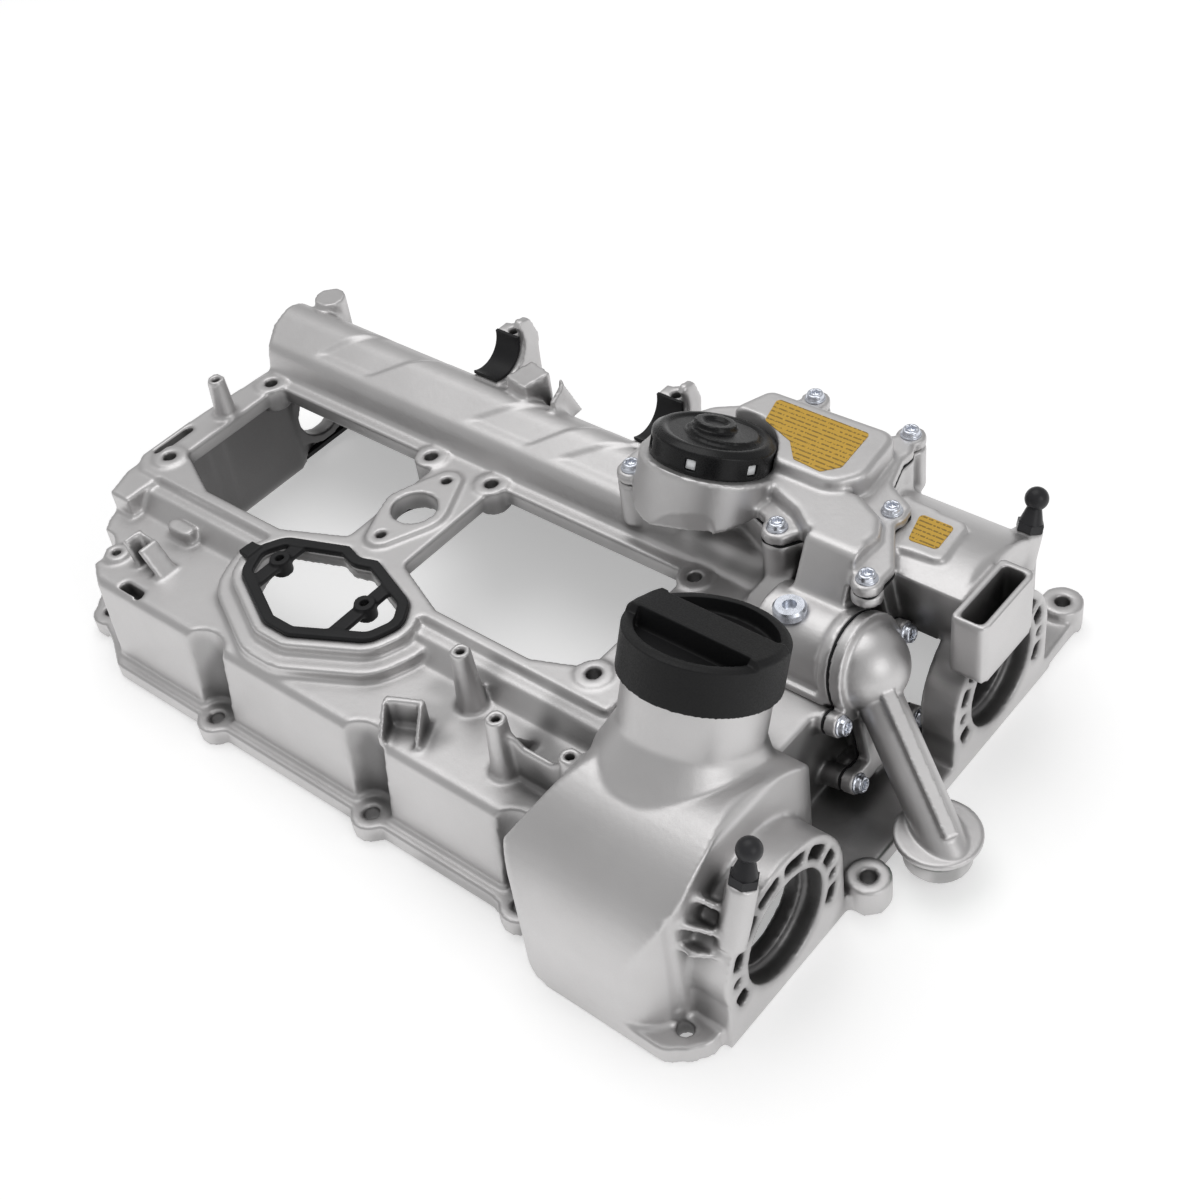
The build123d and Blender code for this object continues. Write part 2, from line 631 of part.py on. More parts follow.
def cover_casting():
    """The one-piece casting with every boss, bore and pocket."""
    body = shells(0)
    body += block(outline(FLANGE_OUTLINE, FLANGE_RADII), 0, FLANGE_T)
    body += prism(RAIL_OUTLINE, RAIL_UNDER_Z, RAIL_Z, 3)
    body += block(seal_face(COLLAR_OUT), SHOULDER_Z - 4, RAIL_Z)
    body += block(seal_face(COLLAR_FOOT_OUT), SHOULDER_Z - 4, COLLAR_FOOT_Z)
    body += neck()
    body += block(chamber_face(0), CHAMBER_FLOOR_Z, PART_Z) - outlet_bay(0)
    body += ring_front(0) + ring_front(1)
    for x, y in NEAR_BOLTS + CORNER_BOLTS[:1] + FAR_BOLTS:
        body -= cone_z(x, y, POCKET_R, POCKET_TOP_R, FLANGE_T, SHOULDER_Z + 9)
        body += rod_z(x, y, BOLT_BOSS_R, 0, FLANGE_T)
    body += rod_z(CORNER_BOLTS[1][0], CORNER_BOLTS[1][1], BOLT_BOSS_R, 0, FLANGE_T)
    for x, y in LUG_BOLTS:
        body += rod_z(x, y, BOLT_BOSS_R, 0, LUG_T)
    body += prism([(118, 128), (127, 158), (143, 158), (145, 118)], 0, FLANGE_T, 2)
    body += posts() + brackets() + knife_ribs()
    for x0 in CRADLE_X:
        body += cradle(x0)

    inside = shells(WALL)
    for x, y in NEAR_BOLTS + CORNER_BOLTS[:1] + FAR_BOLTS:
        inside -= cone_z(x, y, POCKET_R + WALL, POCKET_TOP_R + WALL, -10, SHOULDER_Z + 9)
    inside -= block(grown(outline(EDGE_POCKET, 1), 2.5), SHOULDER_Z - EDGE_POCKET_DEEP - 2.5, SHOULDER_Z)
    body -= inside
    body -= prism(EDGE_POCKET, SHOULDER_Z - EDGE_POCKET_DEEP, SHOULDER_Z + 1)
    room = block(chamber_face(HOUSING_WALL), PART_Z - BAFFLE_UNDER, PART_Z + 1)
    room += block(chamber_face(HOUSING_WALL + CHAMBER_LEDGE), CHAMBER_FLOOR_Z + WALL, PART_Z - BAFFLE_UNDER)
    room -= far_gallery(0)
    room -= tower(1, 0)
    body -= room
    body += rod_x(REAR_BORE_Y, REAR_BORE_Z, REAR_BORE_R + 5, REAR_BORE_X0, REAR_BORE_X0 + REAR_BORE_L)
    body -= rod_x(REAR_BORE_Y, REAR_BORE_Z, REAR_BORE_R, -280, -225)
    body += prism(WEDGE_OUTLINE, 80, WEDGE_Z, 3) - shells(WALL)
    body += duct_mouth()

    for x, y in HOUSING_SCREWS:
        low = BAY_TOP_Z if y < BAY_FAR_Y and x > BARREL_X0 else PART_Z - 22
        body += rod_z(x, y, SCREW_BOSS_R, low, PART_Z)
    body += joint_bosses()
    body += rod_in(NEAR_STUD_FRAME, 0, 0, POST_R, -8, NEAR_POST_H)
    body += rod_in(FAR_STUD_FRAME, 0, 0, POST_R, -4, FAR_POST_H)
    for side in (0, 1):
        body -= ring_cuts(CAM_Y[side])
    body -= block(grown(outline(MOUTH_OUTLINE, 3), -MOUTH_WALL), MOUTH_LOW_Z + 8, MOUTH_Z + 1)

    body -= prism(REAR_WINDOW, RAIL_UNDER_Z - 20, RAIL_Z + 5, WINDOW_R)
    body -= prism(FRONT_WINDOW, RAIL_UNDER_Z - 20, RAIL_Z + 5, WINDOW_R)
    for x, y in rail_bolts():
        body += rod_z(x, y, RAIL_BOSS_R, RAIL_Z - RAIL_BOSS_DEEP, RAIL_Z + RAIL_BOSS_UP)
    pad = Pos(*PAD_BORE) * Circle(PAD_R)
    for x, y in PAD_EYES:
        pad += Pos(x, y) * Circle(PAD_EYE_R)
    body += block(make_hull(pad.edges()), RAIL_UNDER_Z, RAIL_Z + PAD_UP)
    body -= rod_z(PAD_BORE[0], PAD_BORE[1], PAD_BORE_R, RAIL_UNDER_Z - 5, RAIL_Z + 5)

    body -= block(seal_face(-SEAL_W - SEAL_INSET), SHOULDER_Z - 20, RAIL_Z + 5)
    body -= block(seal_face(SEAL_FIT - SEAL_INSET), RAIL_Z - SEAL_GROOVE, RAIL_Z + 5)

    for x, y in NEAR_BOLTS + CORNER_BOLTS + FAR_BOLTS + LUG_BOLTS:
        body -= rod_z(x, y, BOLT_R, -1, LUG_T + 1)
    for x, y in NEAR_BOLTS + CORNER_BOLTS + FAR_BOLTS:
        body -= rod_z(x, y, BOLT_R + BOLT_WAY, LUG_T, 130)
    for x, y in rail_bolts():
        body -= rod_z(x, y, RAIL_BOLT_R, RAIL_Z - RAIL_BOSS_DEEP - 5, RAIL_Z + 5)
    for x, y in PAD_EYES:
        body -= rod_z(x, y, PAD_EYE_HOLE_R, RAIL_Z - 5, RAIL_Z + 5)
    for x, y in HOUSING_SCREWS:
        body -= rod_z(x, y, SCREW_R, HOUSING_TOP_Z - SCREW_L - 1, PART_Z + 1)
    for x, y in JOINT_SCREWS:
        body -= rod_in(JOINT_FRAME, x, y, SCREW_R, -JOINT_SCREW_L, 1)
    body -= post_holes()
    body -= prism(REAR_SLOT, RAIL_Z - REAR_SLOT_DEEP, RAIL_Z + 1)
    body -= rod_z(EYE_BOSS[0], EYE_BOSS[1], 2.2, SHOULDER_Z - 3, SHOULDER_Z + 3)
    body -= rod_in(FAR_STUD_FRAME, 0, 0, STUD_HEX_R + 1, FAR_POST_H, FAR_POST_H + 12)
    body -= rod_in(NEAR_STUD_FRAME, 0, 0, STUD_SHANK_R, NEAR_POST_H - STUD_SHANK_L, NEAR_POST_H + 1)
    body -= rod_in(FAR_STUD_FRAME, 0, 0, STUD_SHANK_R, FAR_POST_H - STUD_SHANK_L, FAR_POST_H + 1)
    body -= rod_in(NECK_FRAME, 0, 0, NECK_BORE_R, 38, 100)
    body += NECK_FRAME * arcs(LUG_BORE_R, NECK_BORE_R + 1, LUG_UNDER, LUG_UNDER + LUG_H, LUG_ANGLE, 0)
    body -= block(flange_band(GASKET_FIT), -1, GASKET_H + GASKET_FIT)
    body -= block(rail_band(GASKET_FIT), RAIL_UNDER_Z - 1, RAIL_UNDER_Z + RAIL_GASKET_DEEP)
    return body


def centre_seal():
    """Moulded rubber seal round the centre opening, with two bars that carry drilled eyes."""
    low = RAIL_Z - SEAL_GROOVE
    inner = seal_face(-SEAL_INSET - SEAL_W)
    solid = block(seal_face(-SEAL_INSET) - inner, low, RAIL_Z + SEAL_UP)
    for x in SEAL_BAR_X:
        bar = box(x - SEAL_BAR_W / 2, x + SEAL_BAR_W / 2, -80, -25, low, low + SEAL_BAR_T - 1.5)
        bar &= block(grown(inner, 1), low, RAIL_Z + SEAL_UP)
        bar += rod_z(x, SEAL_EYE_Y, SEAL_EYE_R, low - SEAL_BAR_T, low + SEAL_BAR_T)
        solid += bar - rod_z(x, SEAL_EYE_Y, SEAL_EYE_HOLE_R, low - SEAL_BAR_T - 1, low + SEAL_BAR_T + 1)
    return solid + prism(SEAL_TAB, RAIL_Z + RUN_GAP, RAIL_Z + SEAL_UP + 1)


def filler_cap():
    """Hollow screw-in cap with a grip bar, two scoops, a bayonet stem and its lugs."""
    top = CAP_SEAT + CAP_H
    ceiling = top - GRIP_DEEP - CAP_WALL
    solid = rod_in(NECK_FRAME, 0, 0, CAP_R, CAP_SEAT, top - 2)
    solid += cone_in(NECK_FRAME, CAP_R, CAP_R - 2, top - 2, top)
    solid -= rod_in(NECK_FRAME, 0, 0, CAP_R - CAP_WALL, CAP_SEAT - 1, ceiling)
    for turn in (-1, 1):
        scoop = Circle(CAP_R - 4.5) & (Pos(0, turn * (GRIP_W / 2 + 20)) * Rectangle(80, 40))
        solid -= NECK_FRAME * Pos(0, 0, top - GRIP_DEEP) * extrude(scoop, amount=GRIP_DEEP + 1)
    hollow = Circle(CAP_R - 7) & Rectangle(80, GRIP_W - 2 * CAP_WALL)
    solid -= NECK_FRAME * Pos(0, 0, ceiling - 1) * extrude(hollow, amount=GRIP_DEEP)
    stem = rod_in(NECK_FRAME, 0, 0, STEM_R, STEM_LOW, ceiling)
    solid += stem - rod_in(NECK_FRAME, 0, 0, STEM_R - CAP_WALL, STEM_LOW, ceiling)
    lugs = arcs(STEM_R - 1, NECK_BORE_R - 0.6, STEM_LOW + 0.5, LUG_UNDER - RUN_GAP, LUG_ANGLE - 4, 0)
    return solid + NECK_FRAME * lugs


def cap_ceiling():
    """Height of the underside of the cap along the neck axis."""
    return CAP_SEAT + CAP_H - GRIP_DEEP - CAP_WALL


def filler_cap_seal():
    """Flat rubber ring under the cap, just clear of the neck rim."""
    low = NECK_TOP + RUN_GAP
    outer = rod_in(NECK_FRAME, 0, 0, NECK_BORE_R + 1 + CAP_SEAL_W, low, cap_ceiling())
    return outer - rod_in(NECK_FRAME, 0, 0, NECK_BORE_R + 1, low, cap_ceiling())


def duct_slope(w):
    """Duct that falls from the housing to the outlet barrel, closed below by its sole."""
    low = DECK_Z + (BARREL_SOLE if w else 0)
    section = [(19 + w, low), (19 + w, 68), (30 + w, 80), (42 + 1.2 * w, 84 - w)]
    section += [(52 + w / 2, DUCT_TOP_Z - w), (60 + w, DUCT_TOP_Z - w), (60 + w, HOUSING_Z)]
    section += [(57 - w, HOUSING_Z), (54 - w, 74), (54 - w, low)]
    return bar_x(section, 73 + w, 97.4 - w, [0, 6, 5, 5, 5, 0, 0, 0, 3, 0])


def ventilation_housing():
    """Hollow upper housing: flange, label box, regulator collar, duct and outlet barrel."""
    collar = rod_in(REG_FRAME, 0, 0, REG_COLLAR_R, -REG_COLLAR_DEEP, 0)
    collar &= block(chamber_face(-20), HOUSING_Z, 140)
    flange = chamber_face(0)
    for x, y in HOUSING_SCREWS:
        flange += Pos(x, y) * Circle(SCREW_BOSS_R)
    solid = block(flange, HOUSING_Z, HOUSING_TOP_Z)
    solid += top_rounded(block(outline(BOX_OUTLINE, BOX_RADII), HOUSING_Z, BOX_TOP_Z), 3)
    solid += top_rounded(block(outline(DUCT_OUTLINE, DUCT_RADII), HOUSING_Z, DUCT_TOP_Z), 3)
    solid += duct_slope(0)
    solid += collar
    behind = rod_in(JOINT_FRAME, 0, 0, 120, -120, 0) & box(60, 130, 0, 75, DECK_Z, 140)
    barrel = rod_x(BARREL_Y, BARREL_Z, BARREL_R, BARREL_X0, 130)
    barrel += rod_in(JOINT_FRAME, BARREL_Y - JOINT_Y, JOINT_PORT_UP, JOINT_PORT_R, -5, 0)
    barrel += box(BARREL_X0, 106, 13, 58, DECK_Z, DECK_Z + BARREL_SOLE)
    solid += barrel & behind

    core = collar + rod_in(REG_FRAME, 0, 0, REG_COLLAR_R, -REG_COLLAR_DEEP, 12)
    label_box = grown(outline(BOX_OUTLINE, BOX_RADII), -HOUSING_WALL)
    duct = grown(outline(DUCT_OUTLINE, DUCT_RADII), -HOUSING_WALL)
    hollow = block(label_box, HOUSING_Z - 1, BOX_TOP_Z - HOUSING_WALL)
    hollow += block(duct, HOUSING_Z - 1, DUCT_TOP_Z - HOUSING_WALL)
    hollow -= core
    room = rod_x(BARREL_Y, BARREL_Z, BARREL_R - HOUSING_WALL, BARREL_X0 + HOUSING_WALL, 130)
    room &= box(60, 140, 0, 75, DECK_Z + BARREL_SOLE, 140)
    hollow += room + duct_slope(HOUSING_WALL)
    solid -= hollow
    solid -= rod_in(REG_FRAME, 0, 0, REG_R + RUN_GAP, 0, 40)
    bore = rod_in(REG_FRAME, 0, 0, REG_BORE_R, -REG_BORE_DEEP, 1)
    solid -= bore & block(chamber_face(-20), HOUSING_Z + 1.5, 140)
    tube = rod_in(REG_FRAME, 0, 0, REG_TUBE_R, -REG_BORE_DEEP, -REG_TRAVEL - PLATE_T - 0.5)
    solid += tube & block(chamber_face(-20), HOUSING_Z, 140)
    solid -= rod_in(REG_FRAME, 0, 0, REG_TUBE_BORE_R, -REG_COLLAR_DEEP - 4, 1)
    solid -= rod_in(REG_FRAME, 15, 4, 3.5, -REG_COLLAR_DEEP - 4, 1)
    for x, y in HOUSING_SCREWS:
        solid -= rod_z(x, y, SCREW_HOLE_R, HOUSING_Z - 1, HOUSING_TOP_Z + 1)
        solid -= rod_z(x, y, SCREW_HEAD_R + 0.6, HOUSING_TOP_Z, HOUSING_TOP_Z + 30)
    solid -= rod_z(PLUG_XY[0], PLUG_XY[1], PLUG_SHANK_R, BARREL_Z + 10, 100)
    solid -= rod_z(PLUG_XY[0], PLUG_XY[1], PLUG_R + 0.5, PLUG_SEAT_Z, 100)
    for x, y in JOINT_SCREWS:
        solid -= rod_in(JOINT_FRAME, x, y, JOINT_BOSS_R + RUN_GAP, -JOINT_BOSS_L - 2, 1)
    return solid


def regulator_cap():
    """Black plastic cap of the regulator with clip windows and a stepped crown."""
    solid = rod_in(REG_FRAME, 0, 0, REG_R, 0, REG_H - 2)
    solid += cone_in(REG_FRAME, REG_R, REG_R - 3, REG_H - 2, REG_H)
    solid += rod_in(REG_FRAME, 3, 2, 15, REG_H, REG_H + 1.5)
    solid += rod_in(REG_FRAME, -2, 2, 9, REG_H, REG_H + 3.5)
    solid -= rod_in(REG_FRAME, 0, 0, REG_R - REG_WALL, -1, REG_H - REG_WALL)
    for turn in range(6):
        window = Pos(REG_R, 0, 4.5) * Box(6, 5, 5)
        solid -= REG_FRAME * Rot(0, 0, 60 * turn - 75) * window
    return solid


def regulator_diaphragm():
    """Rubber diaphragm clamped between the cap and its seat, round the moving plate."""
    seat = rod_in(REG_FRAME, 0, 0, REG_R - REG_WALL - 0.2, 0, DIAPHRAGM_T)
    return seat - rod_in(REG_FRAME, 0, 0, PLATE_R - 3, -1, DIAPHRAGM_T + 1)


def regulator_plate():
    """Stiff plate that rides on the diaphragm and closes the outlet tube."""
    hub = rod_in(REG_FRAME, 0, 0, PLATE_R - 3, -PLATE_T, DIAPHRAGM_T)
    return hub + rod_in(REG_FRAME, 0, 0, PLATE_R, DIAPHRAGM_T, DIAPHRAGM_T + 1)


def regulator_spring():
    """Coil spring round the outlet tube that holds the plate off it."""
    low = SPRING_WIRE / 2 - SPRING_FOOT
    high = -PLATE_T - SPRING_WIRE / 2 - 0.1
    path = Helix(pitch=SPRING_PITCH, height=high - low, radius=SPRING_R)
    section = Plane(origin=path @ 0, z_dir=path % 0) * Rectangle(SPRING_WIRE, SPRING_WIRE)
    wire = sweep(section, path=path, is_frenet=True)
    return REG_FRAME * Pos(0, 0, low) * wire


def screw(frame, x, y, seat, length):
    """Flanged machine screw with a six-lobed socket, its head on the given height of a frame."""
    solid = rod_in(frame, x, y, SCREW_HEAD_R, seat, seat + 1)
    crown = Cone(SCREW_HEAD_R - 0.8, SCREW_HEAD_R - 1.6, SCREW_HEAD_H - 1,
                 align=(Align.CENTER, Align.CENTER, Align.MIN))
    solid += frame * Pos(x, y, seat + 1) * crown
    solid += rod_in(frame, x, y, SCREW_R, seat - length, seat)
    solid -= rod_in(frame, x, y, SCREW_SOCKET_R, seat + SCREW_HEAD_H - 1.6, seat + SCREW_HEAD_H + 1)
    return solid


def duct_plug():
    """Large screw plug on top of the outlet barrel."""
    x, y = PLUG_XY
    seat = PLUG_SEAT_Z
    solid = rod_z(x, y, PLUG_R, seat, seat + PLUG_H - 1)
    solid += cone_z(x, y, PLUG_R, PLUG_R - 1, seat + PLUG_H - 1, seat + PLUG_H)
    solid += rod_z(x, y, PLUG_SHANK_R, seat - PLUG_SHANK_L, seat)
    return solid - rod_z(x, y, 3, seat + 1.5, seat + PLUG_H + 1)


def joint_face():
    """Outline of the outlet joint: a D-shaped port with four screw ears."""
    face = Pos(BARREL_Y - JOINT_Y, JOINT_PORT_UP) * Circle(JOINT_PORT_R)
    face += Pos(0, 2) * Rectangle(26, 40)
    for x, y in JOINT_SCREWS:
        arm = Pos(x / 2, y) * Rectangle(abs(x), 2 * JOINT_BOSS_R - 2)
        face += Pos(x, y) * Circle(JOINT_BOSS_R) + arm
    return face


def outlet_gasket():
    """Thin gasket in the outlet joint."""
    face = joint_face() - Pos(BARREL_Y - JOINT_Y, JOINT_PORT_UP) * Circle(JOINT_PORT_BORE_R)
    for x, y in JOINT_SCREWS:
        face -= Pos(x, y) * Circle(SCREW_R)
    return JOINT_FRAME * extrude(face, amount=GASKET_T)


def outlet_pipe():
    """Cast outlet elbow: joint flange, domed elbow, ribbed pipe, disc and grooved spigot."""
    flange = JOINT_FRAME * Pos(0, 0, GASKET_T) * extrude(joint_face(), amount=JOINT_T)
    elbow_at = JOINT_FRAME * Pos(BARREL_Y - JOINT_Y, JOINT_PORT_UP, GASKET_T + 2)
    start = elbow_at.position
    finish = Vector(PIPE_END[0], PIPE_END[1], DISC_Z + DISC_T)
    run = finish - start
    pipe_frame = Plane(origin=start, z_dir=run)
    length = run.length
    elbow = elbow_at * Sphere(ELBOW_R)
    tube = rod_in(pipe_frame, 0, 0, PIPE_R, 0, length + 12)
    side = Vector(0, 0, 1) - pipe_frame.z_dir * pipe_frame.z_dir.Z
    rib_frame = Plane(origin=start, x_dir=side, z_dir=run)
    rib = rib_frame * Pos(PIPE_RIB_UP / 2, 0, length / 2 + 4) * Box(PIPE_RIB_UP, PIPE_RIB_W, length)
    outside = rod_in(JOINT_FRAME, 0, 0, 150, GASKET_T, 150)
    above = box(60, 220, -60, 100, DISC_Z + 1, 140)
    solid = (elbow + tube + rib) & outside & above
    solid += flange
    x, y = PIPE_END
    solid += rod_z(x, y, DISC_R, DISC_Z, DISC_Z + DISC_T)
    solid += rod_z(x, y, CORD_SEAT_R, SPIGOT_LOW, DISC_Z)
    solid += rod_z(x, y, SPIGOT_R, SPIGOT_LOW, DISC_Z - 2 * CORD_R - 0.3)
    bore = elbow_at * Sphere(ELBOW_R - HOUSING_WALL)
    bore = bore & rod_in(JOINT_FRAME, 0, 0, 150, -1, 150)
    bore += rod_in(JOINT_FRAME, BARREL_Y - JOINT_Y, JOINT_PORT_UP, JOINT_PORT_BORE_R, -1, 4)
    bore += rod_in(pipe_frame, 0, 0, PIPE_BORE_R, 0, length)
    bore += rod_z(x, y, PIPE_BORE_R, SPIGOT_LOW - 1, DISC_Z + 4)
    solid -= bore
    for sx, sy in JOINT_SCREWS:
        solid -= rod_in(JOINT_FRAME, sx, sy, SCREW_HOLE_R, -1, GASKET_T + JOINT_T + 1)
        solid -= rod_in(JOINT_FRAME, sx, sy, SCREW_HEAD_R + 0.6, GASKET_T + JOINT_T, GASKET_T + JOINT_T + 20)
    return solid


def outlet_seal_ring():
    """Round rubber cord in the spigot groove."""
    return Pos(PIPE_END[0], PIPE_END[1], DISC_Z - CORD_R - 0.1) * Torus(CORD_SEAT_R + CORD_R, CORD_R)


def ball_stud(frame, seat):
    """Black ball stud: hexagon, conical neck, ball and threaded shank."""
    hexagon = frame * Pos(0, 0, seat) * extrude(RegularPolygon(STUD_HEX_R, 6), amount=STUD_HEX_H)
    solid = hexagon + cone_in(frame, STUD_HEX_R - 1, STUD_NECK_R, seat + STUD_HEX_H, seat + BALL_UP - 3)
    solid += frame * Pos(0, 0, seat + BALL_UP) * Sphere(BALL_R)
    return solid + rod_in(frame, 0, 0, STUD_SHANK_R, seat - STUD_SHANK_L, seat)


def separator_baffle():
    """Perforated plate on the ledge of the ventilation chamber."""
    low = PART_Z - BAFFLE_UNDER
    plate = block(chamber_face(HOUSING_WALL + 0.2), low, low + BAFFLE_T) - tower(1, 0)
    for x, y in HOUSING_SCREWS:
        plate -= rod_z(x, y, SCREW_BOSS_R + 0.2, low - 1, low + 5)
    for x in (0, 20, 40, 60):
        plate -= rod_z(x, 104, 4, low - 1, low + 5)
    return plate


def housing_gasket():
    """Flat gasket between the ventilation chamber and its housing."""
    face = chamber_face(0) - chamber_face(HOUSING_WALL)
    for x, y in HOUSING_SCREWS:
        face += (Pos(x, y) * Circle(SCREW_BOSS_R)) & chamber_face(0)
        face -= Pos(x, y) * Circle(SCREW_R)
    return block(face, PART_Z, PART_Z + GASKET_T)


def merged(solids):
    """Several separate solids kept as one node."""
    total = solids[0]
    for solid in solids[1:]:
        total += solid
    return total


def middle(shapes):
    """Centre of the bounding box of all shapes, and its lowest level."""
    boxes = [shape.bounding_box() for shape in shapes]
    x = (min(b.min.X for b in boxes) + max(b.max.X for b in boxes)) / 2
    y = (min(b.min.Y for b in boxes) + max(b.max.Y for b in boxes)) / 2
    return x, y, min(b.min.Z for b in boxes)


TOP = Plane.XY
RAIL_GASKET_TOP = RAIL_UNDER_Z + RAIL_GASKET_DEEP
top_screws = [screw(TOP, x, y, HOUSING_TOP_Z, SCREW_L) for x, y in HOUSING_SCREWS]
joint_screws = [screw(JOINT_FRAME, x, y, GASKET_T + JOINT_T, JOINT_SCREW_L) for x, y in JOINT_SCREWS]
parts = {
    "cover_casting": cover_casting(),
    "perimeter_gasket": block(flange_band(0), 0, GASKET_H),
    "rail_gasket": block(rail_band(0), RAIL_GASKET_TOP - RAIL_GASKET_H, RAIL_GASKET_TOP),
    "centre_seal": centre_seal(),
    "oil_filler_cap": filler_cap(),
    "filler_cap_seal": filler_cap_seal(),
    "ventilation_housing": ventilation_housing(),
    "housing_gasket": housing_gasket(),
    "separator_baffle": separator_baffle(),
    "regulator_cap": regulator_cap(),
    "regulator_diaphragm": regulator_diaphragm(),
    "regulator_plate": regulator_plate(),
    "regulator_spring": regulator_spring(),
    "duct_plug": duct_plug(),
    "outlet_pipe": outlet_pipe(),
    "outlet_gasket": outlet_gasket(),
    "outlet_seal_ring": outlet_seal_ring(),
    "ball_stud_near": ball_stud(NEAR_STUD_FRAME, NEAR_POST_H),
    "ball_stud_far": ball_stud(FAR_STUD_FRAME, FAR_POST_H),
    "line_clip_rear": line_clip(CRADLE_X[0]),
    "line_clip_front": line_clip(CRADLE_X[1]),
    "label_large": prism(LABEL_OUTLINE, BOX_TOP_Z, BOX_TOP_Z + LABEL_T, 2),
    "label_small": prism(SMALL_LABEL_OUTLINE, WEDGE_Z, WEDGE_Z + LABEL_T, 2),
    "housing_screws": merged(top_screws),
    "outlet_screws": merged(joint_screws),
}

x, y, z = middle(parts.values())
print("moved by", -x, -y, -z)
for name, solid in parts.items():
    export_step(Pos(-x, -y, -z) * solid, "parts/" + name + ".step")
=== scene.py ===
"""Looks of a die-cast engine valve cover: cast skins with flowing fillets, screws, seals and finishes.

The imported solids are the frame. Each casting or moulding is shown by a softened copy of its own solid, whose
sharp CAD edges are rounded as a die leaves them, and the small fasteners are turned from profiles.
"""

import json

import bmesh
import bpy
import numpy as np
from bpy.props import FloatProperty, FloatVectorProperty, IntProperty, PointerProperty
from bpy.types import Operator, Panel, PropertyGroup
from mathutils import Matrix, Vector
from mathutils.bvhtree import BVHTree


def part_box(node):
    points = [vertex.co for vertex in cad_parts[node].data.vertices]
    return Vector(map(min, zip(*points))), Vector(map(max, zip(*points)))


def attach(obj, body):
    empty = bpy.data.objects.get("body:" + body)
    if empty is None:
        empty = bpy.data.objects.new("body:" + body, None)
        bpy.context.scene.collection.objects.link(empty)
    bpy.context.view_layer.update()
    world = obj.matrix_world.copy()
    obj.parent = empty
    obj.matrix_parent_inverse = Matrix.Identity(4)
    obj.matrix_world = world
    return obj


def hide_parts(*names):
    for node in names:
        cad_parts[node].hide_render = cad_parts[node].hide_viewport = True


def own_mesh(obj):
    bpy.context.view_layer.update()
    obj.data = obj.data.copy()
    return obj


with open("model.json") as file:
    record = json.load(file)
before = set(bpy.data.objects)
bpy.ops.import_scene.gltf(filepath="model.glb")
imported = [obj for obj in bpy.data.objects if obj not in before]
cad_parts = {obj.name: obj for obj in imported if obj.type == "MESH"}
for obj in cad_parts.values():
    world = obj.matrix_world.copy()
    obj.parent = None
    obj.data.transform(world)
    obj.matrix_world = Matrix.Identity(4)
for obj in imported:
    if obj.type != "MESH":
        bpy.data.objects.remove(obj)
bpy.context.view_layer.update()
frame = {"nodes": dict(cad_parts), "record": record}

bl_info = {
    "name": "Engine valve cover",
    "version": (1, 0, 0),
    "blender": (4, 5, 0),
    "location": "3D View > Sidebar > Valve cover",
    "description": "Builds the cast skins, fasteners, seals and finishes of an engine valve cover",
    "category": "Object",
}

# The part was drawn about a working origin and then moved by this much, in metres.
SHIFT = np.array([0.0416, -0.020285, 0.0])
MM = 0.001
Z_AXIS = np.array([0.0, 0.0, 1.0])
X_AXIS = np.array([1.0, 0.0, 0.0])
# Loose triangles of a CAD mesh are joined where their corners lie this close, in metres.
JOIN = 2e-6

# Places with crisp machined edges, in working millimetres: x, y, radius, and lowest height.
RAIL_BOSSES = [(x, y, 11, 54) for x in (-246, 22) for y in (-27, 41)]
BAR_BOSSES = [(-134, 41, 11, 54), (-95.5, 41, 11, 54), (-114, 8, 30, 56)]
FLANGE_BOSSES = [(x, y, 12, -1) for x, y in (
    (-145, -105), (-45, -105), (40, -105), (-244, -86), (129, -113), (148, -19), (135, 157), (-246, 118),
    (-145, 129), (-45, 129), (46, 136.5))]
POSTS_AND_CRADLES = [(-18, -60, 7, 60), (18, -79, 7, 56), (55, -78, 7, 56), (-248, 12, 7, 64),
                     (-132, 106, 9, 80), (-34, 106, 9, 80)]
CENTRE_RIM = [(-115, -50, 52, 58)]
CRISP_PLACES = RAIL_BOSSES + BAR_BOSSES + FLANGE_BOSSES + POSTS_AND_CRADLES + CENTRE_RIM
# How far outside its radius a crisp place fades out.
CRISP_FADE = 3
# The front rings are crisp from this x on, up to this height.
RING_START = (116, 119)
RING_TOP = 78
# The towers flow between these x levels, outside these y levels and above this height.
TOWER_REAR = (46, 58)
TOWER_FRONT = (115, 121)
TOWER_NEAR = (30, 40)
TOWER_FAR = (98, 104)
TOWER_FOOT = (11, 16)
# Levels between which the far gallery's roof fades in and out, for its facing, height and both ways across.
ROOF_FACING = (0.55, 0.9)
ROOF_HEIGHT = (74, 79)
ROOF_NEAR = (56, 62)
ROOF_FAR = (96, 101)
ROOF_REAR = (-243, -236)
ROOF_FRONT = (-20, -12)
# Slanting steps of the gallery roof: where each crosses the middle line, its slope, and down or up.
ROOF_MIDDLE_Y = 72
ROOF_RUN = 2.5
ROOF_STEPS = [(-214, 0.9, 1), (-176, 1.1, -1), (-108, 1.2, 1), (-74, 1.0, -1), (-52, 1.3, 1)]
# Where along its length the main skin is cut into strips.
STRIP_CUTS = np.array([0.14, 0.28, 0.42, 0.56, 0.68, 0.78, 0.87])

# These rays set the painted shade of the cast skins: their colour is darkened where the rays find them shut
# in.
# Rays for how open a point lies: start off the skin, level of shares that counts as shut, and run to open.
RAY_START = 0.0012
SHUT_SHARE = 0.3
OPEN_RUN = 0.26
OPEN_PASSES = 6
OPEN_PULL = 0.6
# The small cast skins: name, node, and share of the fine step.
SMALL_SKINS = (("housing_skin", "ventilation_housing", 1.1), ("outlet_skin", "outlet_pipe", 0.8))
SMALL_PASSES = 6
SMALL_REACH = 0.04

